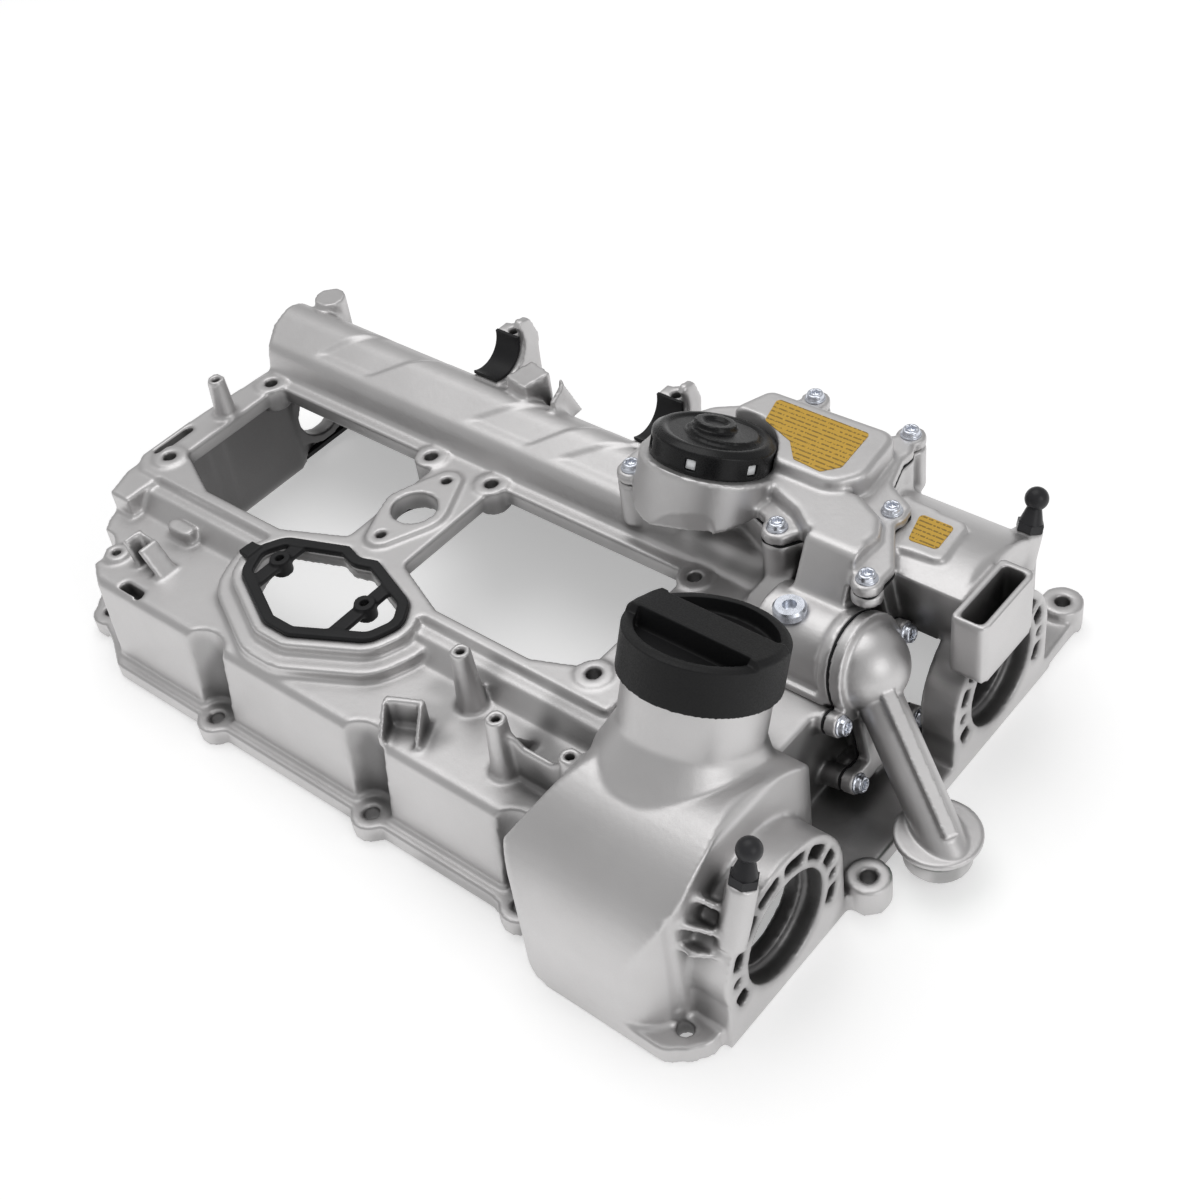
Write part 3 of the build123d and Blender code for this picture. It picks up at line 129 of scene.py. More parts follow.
# The filler cap turns about a line through this working point, leaning by this many degrees.
CAP_FOOT = np.array([0.089, -0.068, 0.033])
CAP_LEAN = 21.0
# The cap's grip in millimetres: half its width with its edge, where the rim begins and its height, and how
# far the rim beside the grip is lowered, less towards +X.
GRIP_HALF = 9.2
GRIP_EDGE = 1.2
RIM_FOOT = 100.0
RIM_RISE = 4.5
RIM_LOWER = 4.0
RIM_DIP = 1.5
RIM_DIP_X = (-34, 30)
# Rounded end of the grip bar: where it begins, its length, and its half width.
BAR_END = 22
BAR_RUN = 9.5
BAR_HALF = 9.0
# Seat of the regulator cap in the working frame, and how far it leans back.
REGULATOR_SEAT = np.array([0.013, 0.0697, 0.105])
REGULATOR_LEAN = 23.0
# Relief of the regulator's lid in millimetres, in its own frame: level of the top and its edge, the dish
# inside the rim, the raised crown and its spiral ramp, and the hollow knob.
LID_TOP = 10.6
LID_EDGE = 1.0
DISH_R = 21.5
DISH_EDGE = 1.5
DISH_DEEP = 0.9
CROWN_XY = (3, 2)
CROWN_R = 15.4
CROWN_FOOT_R = 15.2
CROWN_EDGE = 1.2
RAMP_RISE = 1.1
KNOB_XY = (-2, 2)
KNOB_R = 9.4
KNOB_TOP = 13.0
HOLLOW_R = 5.6
HOLLOW_EDGE = 0.8
HOLLOW_DEEP = 1.3
# Six pale clips round the lid: inner and outer radius, first angle, half width in radians, foot and top.
CLIPS = 6
CLIP_R = (24.9, 25.5)
CLIP_FIRST = -75
CLIP_HALF = 0.082
CLIP_Z = (2.5, 6.5)
# Spring under the regulator's plate, in millimetres along its axis.
SPRING_R = 9.6
SPRING_WIRE = 1.2
SPRING_PITCH = 2.4
SPRING_LOW = -6.6
SPRING_HIGH = -1.7

# Finishes: how fine each pattern is, in ripples per metre of the object's coordinates.
PATCH_SCALE = 22.0
RIPPLE_SCALE = 420.0
SPECK_SCALE = 2600.0
BLOOM_SCALE = 30.0
GRAIN_SCALE = 1800.0
CLOUD_SCALE = 260.0
TURNING_SCALE = 3000.0
TURNING_DEPTH = 0.00001
# Stickers: rows in a metre, share of a row that its bar takes, ripples that break it, and how dark it is.
STICKER_ROWS = 380.0
BAR_SHARE = 0.34
BREAKS = 900.0
BREAK_LEVEL = 0.45
INK_SHADE = 0.42
# Moulded finishes: a colour, or the name of one in PlasticSizes, then roughness, grain and its fineness.
MOULDED = {
    "black_plastic": ("black", 0.5, 0.00006, 1500.0),
    "satin_black_plastic": ("black", 0.28, 0.00001, GRAIN_SCALE),
    "black_rubber": ("rubber", 0.46, 0.00002, GRAIN_SCALE),
    "gasket_rubber": ("rubber", 0.46, 0.00002, GRAIN_SCALE),
    "green_rubber": ("green", 0.4, 0.00001, GRAIN_SCALE),
    "black_steel": ((0.022, 0.022, 0.024), 0.34, 0.00002, GRAIN_SCALE),
    "clear_window": ((0.72, 0.73, 0.74), 0.3, 0.000005, GRAIN_SCALE),
}
ZINC_ROUGHNESS = 0.24

# Screws: lean of the outlet screws in degrees, and height of a head from its seat to its rim.
OUTLET_SCREW_LEAN = 11.0
HEAD_SEAT = 0.0032
RIM_BAND = 0.0002

# Stage: half width and level of the floor, its glow, and the lights' place and width in metres.
FLOOR_HALF = 6
FLOOR_Z = -0.0002
FLOOR_GLOW = 0.38
LIGHT_AIM = np.array([0.0, 0.0, 0.05])
KEY_PLACE = (-0.35, 0.25, 1.5)
KEY_WIDTH = 1.3
FILL_PLACE = (1.3, -0.2, 0.7)
FILL_WIDTH = 0.8
# Camera: heading, dip and roll in degrees, its place in the working frame, and its lens in millimetres.
VIEW_ANGLES = [135.5, 43.0, -9.0]
VIEW_PLACE = np.array([0.394753, -0.383220, 0.583993])
LENS = 54.0
SENSOR = 36.0


class CastSizes(PropertyGroup):
    """Sizes and colour of the castings."""

    voxel: FloatProperty(
        name="Skin step", description="Spacing of the points of the main cast skin",
        default=0.0012, min=0.0008, max=0.004, unit="LENGTH")
    passes: IntProperty(
        name="Fillet passes", description="How often the main skin is evened out, which widens its fillets",
        default=9, min=0, max=40)
    crisp_passes: IntProperty(
        name="Machined passes", description="How often the machined bosses are evened out",
        default=3, min=0, max=40)
    soft_passes: IntProperty(
        name="Tower passes", description="How often the flowing towers are evened out",
        default=26, min=0, max=60)
    crease: FloatProperty(
        name="Roof creases", description="Depth of the slanting steps in the gallery roof",
        default=0.0011, min=0.0, max=0.004, unit="LENGTH")
    fine_voxel: FloatProperty(
        name="Fine step", description="Spacing of the points of the small cast skins",
        default=0.001, min=0.0005, max=0.004, unit="LENGTH")
    colour: FloatVectorProperty(
        name="Aluminium", description="Colour of the cast aluminium", subtype="COLOR", size=3,
        default=(0.62, 0.61, 0.61), min=0.0, max=1.0)
    roughness: FloatProperty(
        name="Roughness", description="Roughness of the blasted cast skin", default=0.43, min=0.0, max=1.0)
    # Painted shade: share of the colour kept where the skin lies shut in, which darkens hollows and the skin
    # under parts.
    painted_shade_share: FloatProperty(
        name="Painted shade", description="Share of the colour that is left on the skin inside the casting",
        default=0.26, min=0.0, max=1.0)
    grain: FloatProperty(
        name="Grain", description="Depth of the blasted grain",
        default=0.00003, min=0.0, max=0.001, unit="LENGTH")


class PlasticSizes(PropertyGroup):
    """Sizes and colours of the plastic and rubber pieces."""

    voxel: FloatProperty(
        name="Moulding step", description="Spacing of the points of the moulded skins",
        default=0.0006, min=0.0003, max=0.003, unit="LENGTH")
    black: FloatVectorProperty(
        name="Black plastic", description="Colour of the cap and regulator", subtype="COLOR", size=3,
        default=(0.007, 0.007, 0.0075), min=0.0, max=1.0)
    rubber: FloatVectorProperty(
        name="Black rubber", description="Colour of the moulded seals", subtype="COLOR", size=3,
        default=(0.012, 0.012, 0.013), min=0.0, max=1.0)
    green: FloatVectorProperty(
        name="Green rubber", description="Colour of the seal ring on the outlet", subtype="COLOR", size=3,
        default=(0.06, 0.30, 0.13), min=0.0, max=1.0)
    yellow: FloatVectorProperty(
        name="Sticker", description="Colour of the two stickers", subtype="COLOR", size=3,
        default=(0.62, 0.37, 0.035), min=0.0, max=1.0)


class FastenerSizes(PropertyGroup):
    """Sizes and colour of the screws."""

    flange_radius: FloatProperty(
        name="Screw flange", description="Radius of the flange under a screw head",
        default=0.0046, min=0.001, max=0.02, unit="LENGTH")
    head_radius: FloatProperty(
        name="Screw head", description="Radius of a screw head",
        default=0.0037, min=0.001, max=0.02, unit="LENGTH")
    head_height: FloatProperty(
        name="Head height", description="Height of a screw head with its flange",
        default=0.0032, min=0.001, max=0.02, unit="LENGTH")
    socket_radius: FloatProperty(
        name="Socket", description="Mean radius of the six-lobed socket",
        default=0.0021, min=0.0005, max=0.01, unit="LENGTH")
    zinc: FloatVectorProperty(
        name="Zinc", description="Colour of the zinc plate", subtype="COLOR", size=3,
        default=(0.70, 0.73, 0.80), min=0.0, max=1.0)


class StageSizes(PropertyGroup):
    """Floor and light."""

    floor_colour: FloatVectorProperty(
        name="Floor", description="Colour of the floor", subtype="COLOR", size=3,
        default=(0.86, 0.86, 0.86), min=0.0, max=1.0)
    key_power: FloatProperty(
        name="Key light", description="Power of the large light over the object",
        default=8.0, min=0.0, max=200.0)
    fill_power: FloatProperty(
        name="Fill light", description="Power of the light from the right",
        default=3.6, min=0.0, max=200.0)
    world: FloatProperty(
        name="Surroundings", description="Strength of the surroundings", default=0.47, min=0.0, max=2.0)


# Meshes

def linked(name, data):
    """A new object in the scene, at the origin."""
    obj = bpy.data.objects.new(name, data)
    bpy.context.scene.collection.objects.link(obj)
    return obj


def joined_solid(mesh):
    """A CAD mesh with its loose triangles joined at their shared corners, which the caller frees."""
    joined = bmesh.new()
    joined.from_mesh(mesh)
    bmesh.ops.remove_doubles(joined, verts=joined.verts, dist=JOIN)
    return joined


def merged_copy(name, node):
    """An object with a joined copy of a CAD node's mesh."""
    mesh = frame["nodes"][node].data.copy()
    joined = joined_solid(mesh)
    joined.to_mesh(mesh)
    joined.free()
    mesh.materials.clear()
    return linked(name, mesh)


def points_of(mesh):
    """The corners of a mesh as an array of rows x, y, z."""
    flat = np.empty(len(mesh.vertices) * 3, np.float32)
    mesh.vertices.foreach_get("co", flat)
    return flat.reshape(-1, 3).astype(np.float64)


def evened(points, edges, passes, pull=0.5, push=-0.53):
    """Each point moves towards the mean of its neighbours by pull, then by push, which is negative and so
    moves it away again: sharp edges become fillets while the form keeps its size."""
    count = len(points)
    first, second = edges[:, 0], edges[:, 1]
    neighbours = np.bincount(first, minlength=count) + np.bincount(second, minlength=count)
    neighbours = np.maximum(neighbours, 1)[:, None]
    for step in range(2 * passes):
        total = np.empty_like(points)
        for axis in range(points.shape[1]):
            total[:, axis] = np.bincount(first, weights=points[second, axis], minlength=count)
            total[:, axis] += np.bincount(second, weights=points[first, axis], minlength=count)
        points = points + (pull if step % 2 == 0 else push) * (total / neighbours - points)
    return points


def gridded(name, node, voxel):
    """Copy of a CAD node on a fine even grid of points; returns the object."""
    obj = merged_copy(name, node)
    remesh = obj.modifiers.new("Even grid", "REMESH")
    remesh.mode = "VOXEL"
    remesh.voxel_size = voxel
    remesh.adaptivity = 0.0
    graph = bpy.context.evaluated_depsgraph_get()
    mesh = bpy.data.meshes.new_from_object(obj.evaluated_get(graph))
    obj.modifiers.clear()
    old = obj.data
    obj.data = mesh
    bpy.data.meshes.remove(old)
    mesh.name = name
    return obj


def placed(mesh, points):
    """Moves a mesh's points and shades it smoothly."""
    mesh.vertices.foreach_set("co", points.astype(np.float32).ravel())
    mesh.update()
    smooth_shaded(mesh)


def inside_box(points, node):
    """Points held within the box of a CAD node, so that evening out never makes the part larger."""
    low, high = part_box(node)
    return np.clip(points, np.array(low), np.array(high))


def softened(name, node, voxel, passes):
    """Copy of a CAD node on a fine even grid of points, then evened out; returns the object."""
    obj = gridded(name, node, voxel)
    placed(obj.data, inside_box(evened(points_of(obj.data), edges_of(obj.data), passes), node))
    return obj


def eased(value, low, high):
    """0 below one level, 1 above the other, and a smooth run between them."""
    share = np.clip((value - low) / (high - low), 0, 1)
    return share * share * (3 - 2 * share)


def faded(value, low, high):
    """1 below one level, 0 above the other, and a smooth run between them."""
    return eased(-value, -high, -low)


def machined_share(points):
    """1 at the bosses, pads and front rings that keep crisp edges, 0 elsewhere, from working millimetres."""
    x, y, z = points.T
    share = eased(x, *RING_START) * (z < RING_TOP)
    for place_x, place_y, radius, low in CRISP_PLACES:
        away = np.hypot(x - place_x, y - place_y)
        share = np.maximum(share, faded(away, radius, radius + CRISP_FADE) * (z > low))
    return share


def tower_share(points):
    """1 on the two flowing towers, 0 elsewhere, from working millimetres."""
    x, y, z = points.T
    side = np.maximum(eased(-y, *TOWER_NEAR), eased(y, *TOWER_FAR))
    return eased(x, *TOWER_REAR) * faded(x, *TOWER_FRONT) * side * eased(z, *TOWER_FOOT)


def creased(points, normals, depth):
    """Lowers parts of the gallery roof by slanting steps: each step is a smooth run across the line
    x = start + slope (y - middle), and goes down or up by one level."""
    x, y, z = ((points - SHIFT) / MM).T
    roof = eased(normals[:, 2], *ROOF_FACING) * eased(z, *ROOF_HEIGHT)
    roof *= eased(y, *ROOF_NEAR) * faded(y, *ROOF_FAR)
    roof *= faded(x, *ROOF_FRONT) * eased(x, *ROOF_REAR)
    level = np.zeros(len(points))
    for start, slope, way in ROOF_STEPS:
        across = x - start - slope * (y - ROOF_MIDDLE_Y)
        level += way * eased(across, -ROOF_RUN, ROOF_RUN)
    points[:, 2] -= roof * np.clip(level, 0, 1) * depth
    return points


def exposure(points, normals, faces, edges, reach=0.4):
    """How open each point lies, from 0 to 1: the share of nine directions, straight up and to each side
    both level and at 45 degrees, that nothing of the piece itself blocks, evened over neighbours."""
    tree = BVHTree.FromPolygons(points.tolist(), faces.tolist())
    starts = points + normals * RAY_START
    slope = np.sqrt(0.5)
    ways = [(0, 0, 1)]
    for x, y in ((1, 0), (-1, 0), (0, 1), (0, -1)):
        ways += [(x, y, 0), (x * slope, y * slope, slope)]
    free = np.zeros(len(points))
    for way in ways:
        free += [tree.ray_cast(start, way, reach)[0] is None for start in starts.tolist()]
    share = np.clip((free / len(ways) - SHUT_SHARE) / OPEN_RUN, 0, 1)
    return evened(share[:, None], edges, OPEN_PASSES, OPEN_PULL, OPEN_PULL)[:, 0]


def marked_open(mesh, share):
    """Keeps how open each point lies on the mesh, for the painted shade in the cast finish's colour."""
    mesh.attributes.new("open", "FLOAT", "POINT").data.foreach_set("value", share.astype(np.float32))


def edges_of(mesh):
    """Pairs of points joined by an edge."""
    edges = np.empty(len(mesh.edges) * 2, np.int32)
    mesh.edges.foreach_get("vertices", edges)
    return edges.reshape(-1, 2)


def quads_of(mesh):
    """Corner indices of an all-quad mesh, and its point normals."""
    normals = np.empty(len(mesh.vertices) * 3, np.float32)
    mesh.vertex_normals.foreach_get("vector", normals)
    corners = np.empty(len(mesh.loops), np.int32)
    mesh.loops.foreach_get("vertex_index", corners)
    sizes = np.empty(len(mesh.polygons), np.int32)
    mesh.polygons.foreach_get("loop_total", sizes)
    if not (sizes == 4).all():
        raise RuntimeError("the skin isn't all quads")
    return corners.reshape(-1, 4), normals.reshape(-1, 3)


def smooth_shaded(mesh):
    """Shades every face smoothly."""
    mesh.polygons.foreach_set("use_smooth", np.ones(len(mesh.polygons), bool))
    mesh.update()


def strips_along_x(obj, name, levels):
    """Splits an all-quad skin at the given x levels into pieces that share their edge points and normals."""
    mesh = obj.data
    points = points_of(mesh)
    quads, normals = quads_of(mesh)
    # How open each point lies, for the painted shade in the cast colour.
    share = exposure(points, normals, quads, edges_of(mesh))
    middle = points[quads, 0].mean(1)
    band = np.searchsorted(np.array(levels), middle)
    pieces = []
    for index in range(len(levels) + 1):
        mine = quads[band == index]
        used, local = np.unique(mine, return_inverse=True)
        part = bpy.data.meshes.new(f"{name}_{index + 1}")
        part.from_pydata(points[used], [], local.reshape(-1, 4))
        part.update()
        smooth_shaded(part)
        part.normals_split_custom_set_from_vertices(normals[used])
        marked_open(part, share[used])
        pieces.append(linked(part.name, part))
    bpy.data.objects.remove(obj)
    bpy.data.meshes.remove(mesh)
    return pieces


def turned(profile, rounds, lobes):
    """Surface of revolution: each profile point (radius, height) is carried round the Z axis, and its own
    amount in lobes makes its radius r (1 + a cos 6 t) at the angle t."""
    profile = np.array(profile, float)
    angle = np.linspace(0, 2 * np.pi, rounds, endpoint=False)
    radius = profile[:, :1] * (1 + np.array(lobes, float)[:, None] * np.cos(6 * angle)[None, :])
    x = radius * np.cos(angle)[None, :]
    y = radius * np.sin(angle)[None, :]
    z = np.repeat(profile[:, 1:], rounds, 1)
    points = np.stack([x, y, z], -1).reshape(-1, 3)
    row = np.arange(len(profile) - 1)[:, None] * rounds
    here = np.arange(rounds)[None, :]
    after = (here + 1) % rounds
    quads = np.stack([row + here, row + after, row + rounds + after, row + rounds + here], -1).reshape(-1, 4)
    return points, quads


def curved_plate(inner, outer, middle, half, low, high, steps=7):
    """Closed plate bent round the Z axis: the four corners of its section (radius, height) are carried from
    the angle middle - half to middle + half, and both ends are closed."""
    section = np.array([(inner, low), (outer, low), (outer, high), (inner, high)])
    radius, height = section.T
    angle = np.linspace(middle - half, middle + half, steps)
    rows = [np.stack([radius * np.cos(a), radius * np.sin(a), height], 1) for a in angle]
    row = np.arange(steps - 1)[:, None] * 4
    here = np.arange(4)[None, :]
    after = (here + 1) % 4
    quads = np.stack([row + here, row + after, row + 4 + after, row + 4 + here], -1).reshape(-1, 4)
    last = (steps - 1) * 4
    ends = np.array([[3, 2, 1, 0], [last, last + 1, last + 2, last + 3]])
    return np.concatenate(rows), np.concatenate([quads, ends])


def wound(radius, wire, low, high, pitch, steps=150, sides=12):
    """Coil of round wire: the wire's middle circles the Z axis while it rises evenly from low to high, by
    one pitch in each turn, and a flat face closes each end."""
    angle = np.linspace(0, 2 * np.pi * (high - low) / pitch, steps)[:, None]
    rise = np.linspace(low, high, steps)[:, None]
    around = np.linspace(0, 2 * np.pi, sides, endpoint=False)[None, :]
    reach = radius + 0.5 * wire * np.cos(around)
    cloud = np.stack([reach * np.cos(angle), reach * np.sin(angle), rise + 0.5 * wire * np.sin(around)], -1)
    row = np.arange(steps - 1)[:, None] * sides
    here = np.arange(sides)[None, :]
    after = (here + 1) % sides
    quads = np.stack([row + here, row + sides + here, row + sides + after, row + after], -1).reshape(-1, 4)
    last = (steps - 1) * sides
    ends = [list(range(sides)), list(range(last + sides - 1, last - 1, -1))]
    return cloud.reshape(-1, 3), quads.tolist() + ends


def made(name, points, faces):
    """A new smooth-shaded object from arrays of points and faces."""
    mesh = bpy.data.meshes.new(name)
    mesh.from_pydata(points, [], faces)
    mesh.update()
    smooth_shaded(mesh)
    return linked(name, mesh)


def leaned(points, origin, across, axis):
    """Points of a local frame placed at an origin, local x along across and local z along axis."""
    turn = np.stack([across, np.cross(axis, across), axis], 1)
    return points @ turn.T + origin


# Materials

def node_material(name):
    """A new node material with its shader and the tree to build in."""
    material = bpy.data.materials.new(name)
    material.use_nodes = True
    tree = material.node_tree
    return material, tree, tree.nodes["Principled BSDF"]


def added(tree, kind, **values):
    """A node of a kind, with its settings."""
    node = tree.nodes.new(kind)
    for key, value in values.items():
        setattr(node, key, value)
    return node


def noise(tree, scale, detail, rough=0.5):
    """Noise on the object's own coordinates."""
    place = added(tree, "ShaderNodeTexCoord")
    texture = added(tree, "ShaderNodeTexNoise")
    texture.inputs["Scale"].default_value = scale
    texture.inputs["Detail"].default_value = detail
    texture.inputs["Roughness"].default_value = rough
    tree.links.new(place.outputs["Object"], texture.inputs["Vector"])
    return texture.outputs["Fac"]


def ranged(tree, value, low, high, at=0.35, to=0.65):
    """A value between two levels of a pattern, mapped to a range."""
    mapper = added(tree, "ShaderNodeMapRange")
    mapper.inputs["From Min"].default_value = at
    mapper.inputs["From Max"].default_value = to
    mapper.inputs["To Min"].default_value = low
    mapper.inputs["To Max"].default_value = high
    tree.links.new(value, mapper.inputs["Value"])
    return mapper.outputs["Result"]


def tinted(tree, value, dark, light, at=0.3, to=0.7):
    """A colour ramp driven by a pattern."""
    ramp = added(tree, "ShaderNodeValToRGB")
    ramp.color_ramp.elements[0].position = at
    ramp.color_ramp.elements[1].position = to
    ramp.color_ramp.elements[0].color = (*dark, 1)
    ramp.color_ramp.elements[1].color = (*light, 1)
    tree.links.new(value, ramp.inputs["Fac"])
    return ramp.outputs["Color"]


def bumped(tree, shader, height, depth, before=None):
    """Adds a bump of a given depth to a shader and returns its normal."""
    bump = added(tree, "ShaderNodeBump")
    bump.inputs["Strength"].default_value = 1.0
    bump.inputs["Distance"].default_value = depth
    tree.links.new(height, bump.inputs["Height"])
    if before is not None:
        tree.links.new(before, bump.inputs["Normal"])
    tree.links.new(bump.outputs["Normal"], shader.inputs["Normal"])
    return bump.outputs["Normal"]


def shade(colour, factor):
    """A colour made darker or lighter."""
    return tuple(min(1.0, c * factor) for c in colour)


def cast_finish(name, colour, roughness, grain):
    """Satin cast aluminium: fine blasted grain, faint flow marks and patches, uneven gloss, and painted shade
    in hollows.
    """
    material, tree, shader = node_material(name)
    shader.inputs["Metallic"].default_value = 0.92
    patches = noise(tree, PATCH_SCALE, 3.0)
    tone = tinted(tree, patches, shade(colour, 0.94), shade(colour, 1.05))
    # Painted shade: the colour is darkened where the 'open' attribute says the skin lies shut in, in hollows
    # and under parts.
    openness = added(tree, "ShaderNodeAttribute", attribute_name="open")
    darkest_share = bpy.context.scene.cover_cast.painted_shade_share
    level = ranged(tree, openness.outputs["Fac"], darkest_share, 1.0, 0.0, 1.0)
    mix = added(tree, "ShaderNodeVectorMath", operation="MULTIPLY")
    tree.links.new(tone, mix.inputs[0])
    tree.links.new(level, mix.inputs[1])
    tree.links.new(mix.outputs["Vector"], shader.inputs["Base Color"])
    speck = noise(tree, SPECK_SCALE, 2.0)
    tree.links.new(ranged(tree, speck, roughness - 0.05, roughness + 0.07), shader.inputs["Roughness"])
    first = bumped(tree, shader, speck, grain)
    bumped(tree, shader, noise(tree, RIPPLE_SCALE, 3.0), grain * 1.6, first)
    return material


def moulded_finish(name, colour, roughness, grain, scale):
    """Moulded plastic or rubber: even colour with faint bloom, fine grain and uneven gloss."""
    material, tree, shader = node_material(name)
    cloud = noise(tree, BLOOM_SCALE, 3.0)
    tree.links.new(tinted(tree, cloud, shade(colour, 0.8), shade(colour, 1.35)), shader.inputs["Base Color"])
    speck = noise(tree, scale, 2.0)
    tree.links.new(ranged(tree, speck, roughness - 0.06, roughness + 0.08), shader.inputs["Roughness"])
    shader.inputs["Specular IOR Level"].default_value = 0.25
    bumped(tree, shader, speck, grain)
    return material


def plated_finish(name, colour, roughness):
    """Bright zinc or steel with faint turning marks and clouded gloss."""
    material, tree, shader = node_material(name)
    shader.inputs["Metallic"].default_value = 1.0
    cloud = noise(tree, CLOUD_SCALE, 3.0)
    tree.links.new(tinted(tree, cloud, shade(colour, 0.86), shade(colour, 1.08)), shader.inputs["Base Color"])
    tree.links.new(ranged(tree, cloud, roughness - 0.06, roughness + 0.1), shader.inputs["Roughness"])
    bumped(tree, shader, noise(tree, TURNING_SCALE, 2.0), TURNING_DEPTH)
    return material


def sticker_finish(name, colour):
    """Printed film in one colour with rows of thin broken bars: the height along Y gives the row, and a
    noise stretched along X breaks each row into bars."""
    material, tree, shader = node_material(name)
    place = added(tree, "ShaderNodeTexCoord")
    parts = added(tree, "ShaderNodeSeparateXYZ")
    tree.links.new(place.outputs["Object"], parts.inputs["Vector"])
    row = calculated(tree, "FRACT", calculated(tree, "MULTIPLY", parts.outputs["Y"], STICKER_ROWS))
    bar = calculated(tree, "LESS_THAN", row, BAR_SHARE)
    texture = added(tree, "ShaderNodeTexNoise")
    texture.inputs["Detail"].default_value = 1.0
    texture.inputs["Scale"].default_value = 1.0
    spread = added(tree, "ShaderNodeVectorMath", operation="MULTIPLY")
    spread.inputs[1].default_value = (BREAKS, STICKER_ROWS, 1.0)
    tree.links.new(place.outputs["Object"], spread.inputs[0])
    tree.links.new(spread.outputs["Vector"], texture.inputs["Vector"])
    broken = calculated(tree, "GREATER_THAN", texture.outputs["Fac"], BREAK_LEVEL)
    ink = calculated(tree, "MULTIPLY", bar, broken)
    tone = tinted(tree, ink, colour, shade(colour, INK_SHADE), 0.0, 1.0)
    tree.links.new(tone, shader.inputs["Base Color"])
    shader.inputs["Roughness"].default_value = 0.38
    return material


def calculated(tree, operation, first, second=None):
    """The result of one sum on a value, with a number or another value."""
    node = added(tree, "ShaderNodeMath", operation=operation)
    tree.links.new(first, node.inputs[0])
    if isinstance(second, float):
        node.inputs[1].default_value = second
    elif second is not None:
        tree.links.new(second, node.inputs[1])
    return node.outputs["Value"]


def finish(name):
    """The named finish, made once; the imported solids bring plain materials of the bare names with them."""
    own = name + "_finish"
    if own in bpy.data.materials:
        return bpy.data.materials[own]
    scene = bpy.context.scene
    cast, plastic, metal = scene.cover_cast, scene.cover_plastic, scene.cover_fasteners
    if name == "cast_aluminium":
        return cast_finish(own, cast.colour, cast.roughness, cast.grain)
    if name == "yellow_label":
        return sticker_finish(own, plastic.yellow)
    if name in MOULDED:
        colour, roughness, grain, scale = MOULDED[name]
        own_colour = getattr(plastic, colour) if isinstance(colour, str) else colour
        return moulded_finish(own, own_colour, roughness, grain, scale)
    return plated_finish(own, metal.zinc, ZINC_ROUGHNESS)


def dressed(obj, body, slot, nodes=(), material=None):
    """Gives a piece the finish of its slot or of a given material, lets it ride on a body, and hides the CAD
    solids that it stands for.
    """
    obj.data.materials.clear()
    obj.data.materials.append(finish(material or slot))
    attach(obj, body)
    if nodes:
        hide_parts(*nodes)
    return obj


def leaning(degrees):
    """Across, upward and axis directions of a frame that leans back from the vertical by an angle."""
    lean = np.radians(degrees)
    upward = np.array([0, np.cos(lean), -np.sin(lean)])
    axis = np.array([0, np.sin(lean), np.cos(lean)])
    return X_AXIS, upward, axis


# Operators

class COVER_OT_casting(Operator):
    """Main casting as one flowing skin, cut into strips along the engine."""

    bl_idname = "cover.casting"
    bl_label = "Cast cover"

    def execute(self, context):
        cast = context.scene.cover_cast
        whole = gridded("cast_skin", "cover_casting", cast.voxel)
        start, edges = points_of(whole.data), edges_of(whole.data)
        working = (start - SHIFT) / MM
        crisp = evened(start, edges, cast.crisp_passes)
        even = evened(crisp, edges, cast.passes - cast.crisp_passes)
        flowing = evened(even, edges, cast.soft_passes - cast.passes)
        hard, loose = machined_share(working)[:, None], tower_share(working)[:, None]
        points = even + loose * (flowing - even)
        points += hard * (crisp - points)
        placed(whole.data, points)
        normals = quads_of(whole.data)[1]
        placed(whole.data, inside_box(creased(points, normals, cast.crease), "cover_casting"))
        low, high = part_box("cover_casting")
        for piece in strips_along_x(whole, "cast_skin", low.x + STRIP_CUTS * (high.x - low.x)):
            dressed(piece, "cover", "cast_aluminium", ("cover_casting",))
        return {"FINISHED"}


class COVER_OT_housing(Operator):
    """Ventilation housing and outlet pipe as flowing cast skins."""

    bl_idname = "cover.housing"
    bl_label = "Ventilation housing"

    def execute(self, context):
        cast = context.scene.cover_cast
        for name, node, share in SMALL_SKINS:
            skin = softened(name, node, cast.fine_voxel * share, SMALL_PASSES)
            mesh = skin.data
            quads, normals = quads_of(mesh)
            # How open each point lies, for the painted shade in the cast colour.
            marked_open(mesh, exposure(points_of(mesh), normals, quads, edges_of(mesh), SMALL_REACH))
            dressed(skin, "cover", "cast_aluminium", (node,))
        return {"FINISHED"}


class COVER_OT_cap(Operator):
    """Oil filler cap with rounded moulded edges, a lowered rim and a rounded end of its grip bar."""

    bl_idname = "cover.cap"
    bl_label = "Filler cap"

    def execute(self, context):
        voxel = context.scene.cover_plastic.voxel
        skin = softened("cap_skin", "oil_filler_cap", voxel, 1)
        turn = np.stack(leaning(CAP_LEAN), 1)
        local = (points_of(skin.data) - CAP_FOOT - SHIFT) @ turn / MM
        x, y, z = local.T
        side = np.abs(y)
        rim = np.clip((side - GRIP_HALF) / GRIP_EDGE, 0, 1) * np.clip((z - RIM_FOOT) / RIM_RISE, 0, 1)
        dip = np.clip((x - RIM_DIP_X[0]) / RIM_DIP_X[1], 0, 1)
        local[:, 2] -= rim * (RIM_LOWER - RIM_DIP * dip)
        end = np.clip((-x - BAR_END) / BAR_RUN, 0, 1) ** 2
        local[:, 2] -= end * np.clip(1 - side / BAR_HALF, 0, 1) * (z > RIM_FOOT)
        placed(skin.data, evened((local * MM) @ turn.T + CAP_FOOT + SHIFT, edges_of(skin.data), 2))
        dressed(skin, "cap", "black_plastic", ("oil_filler_cap",))
        return {"FINISHED"}


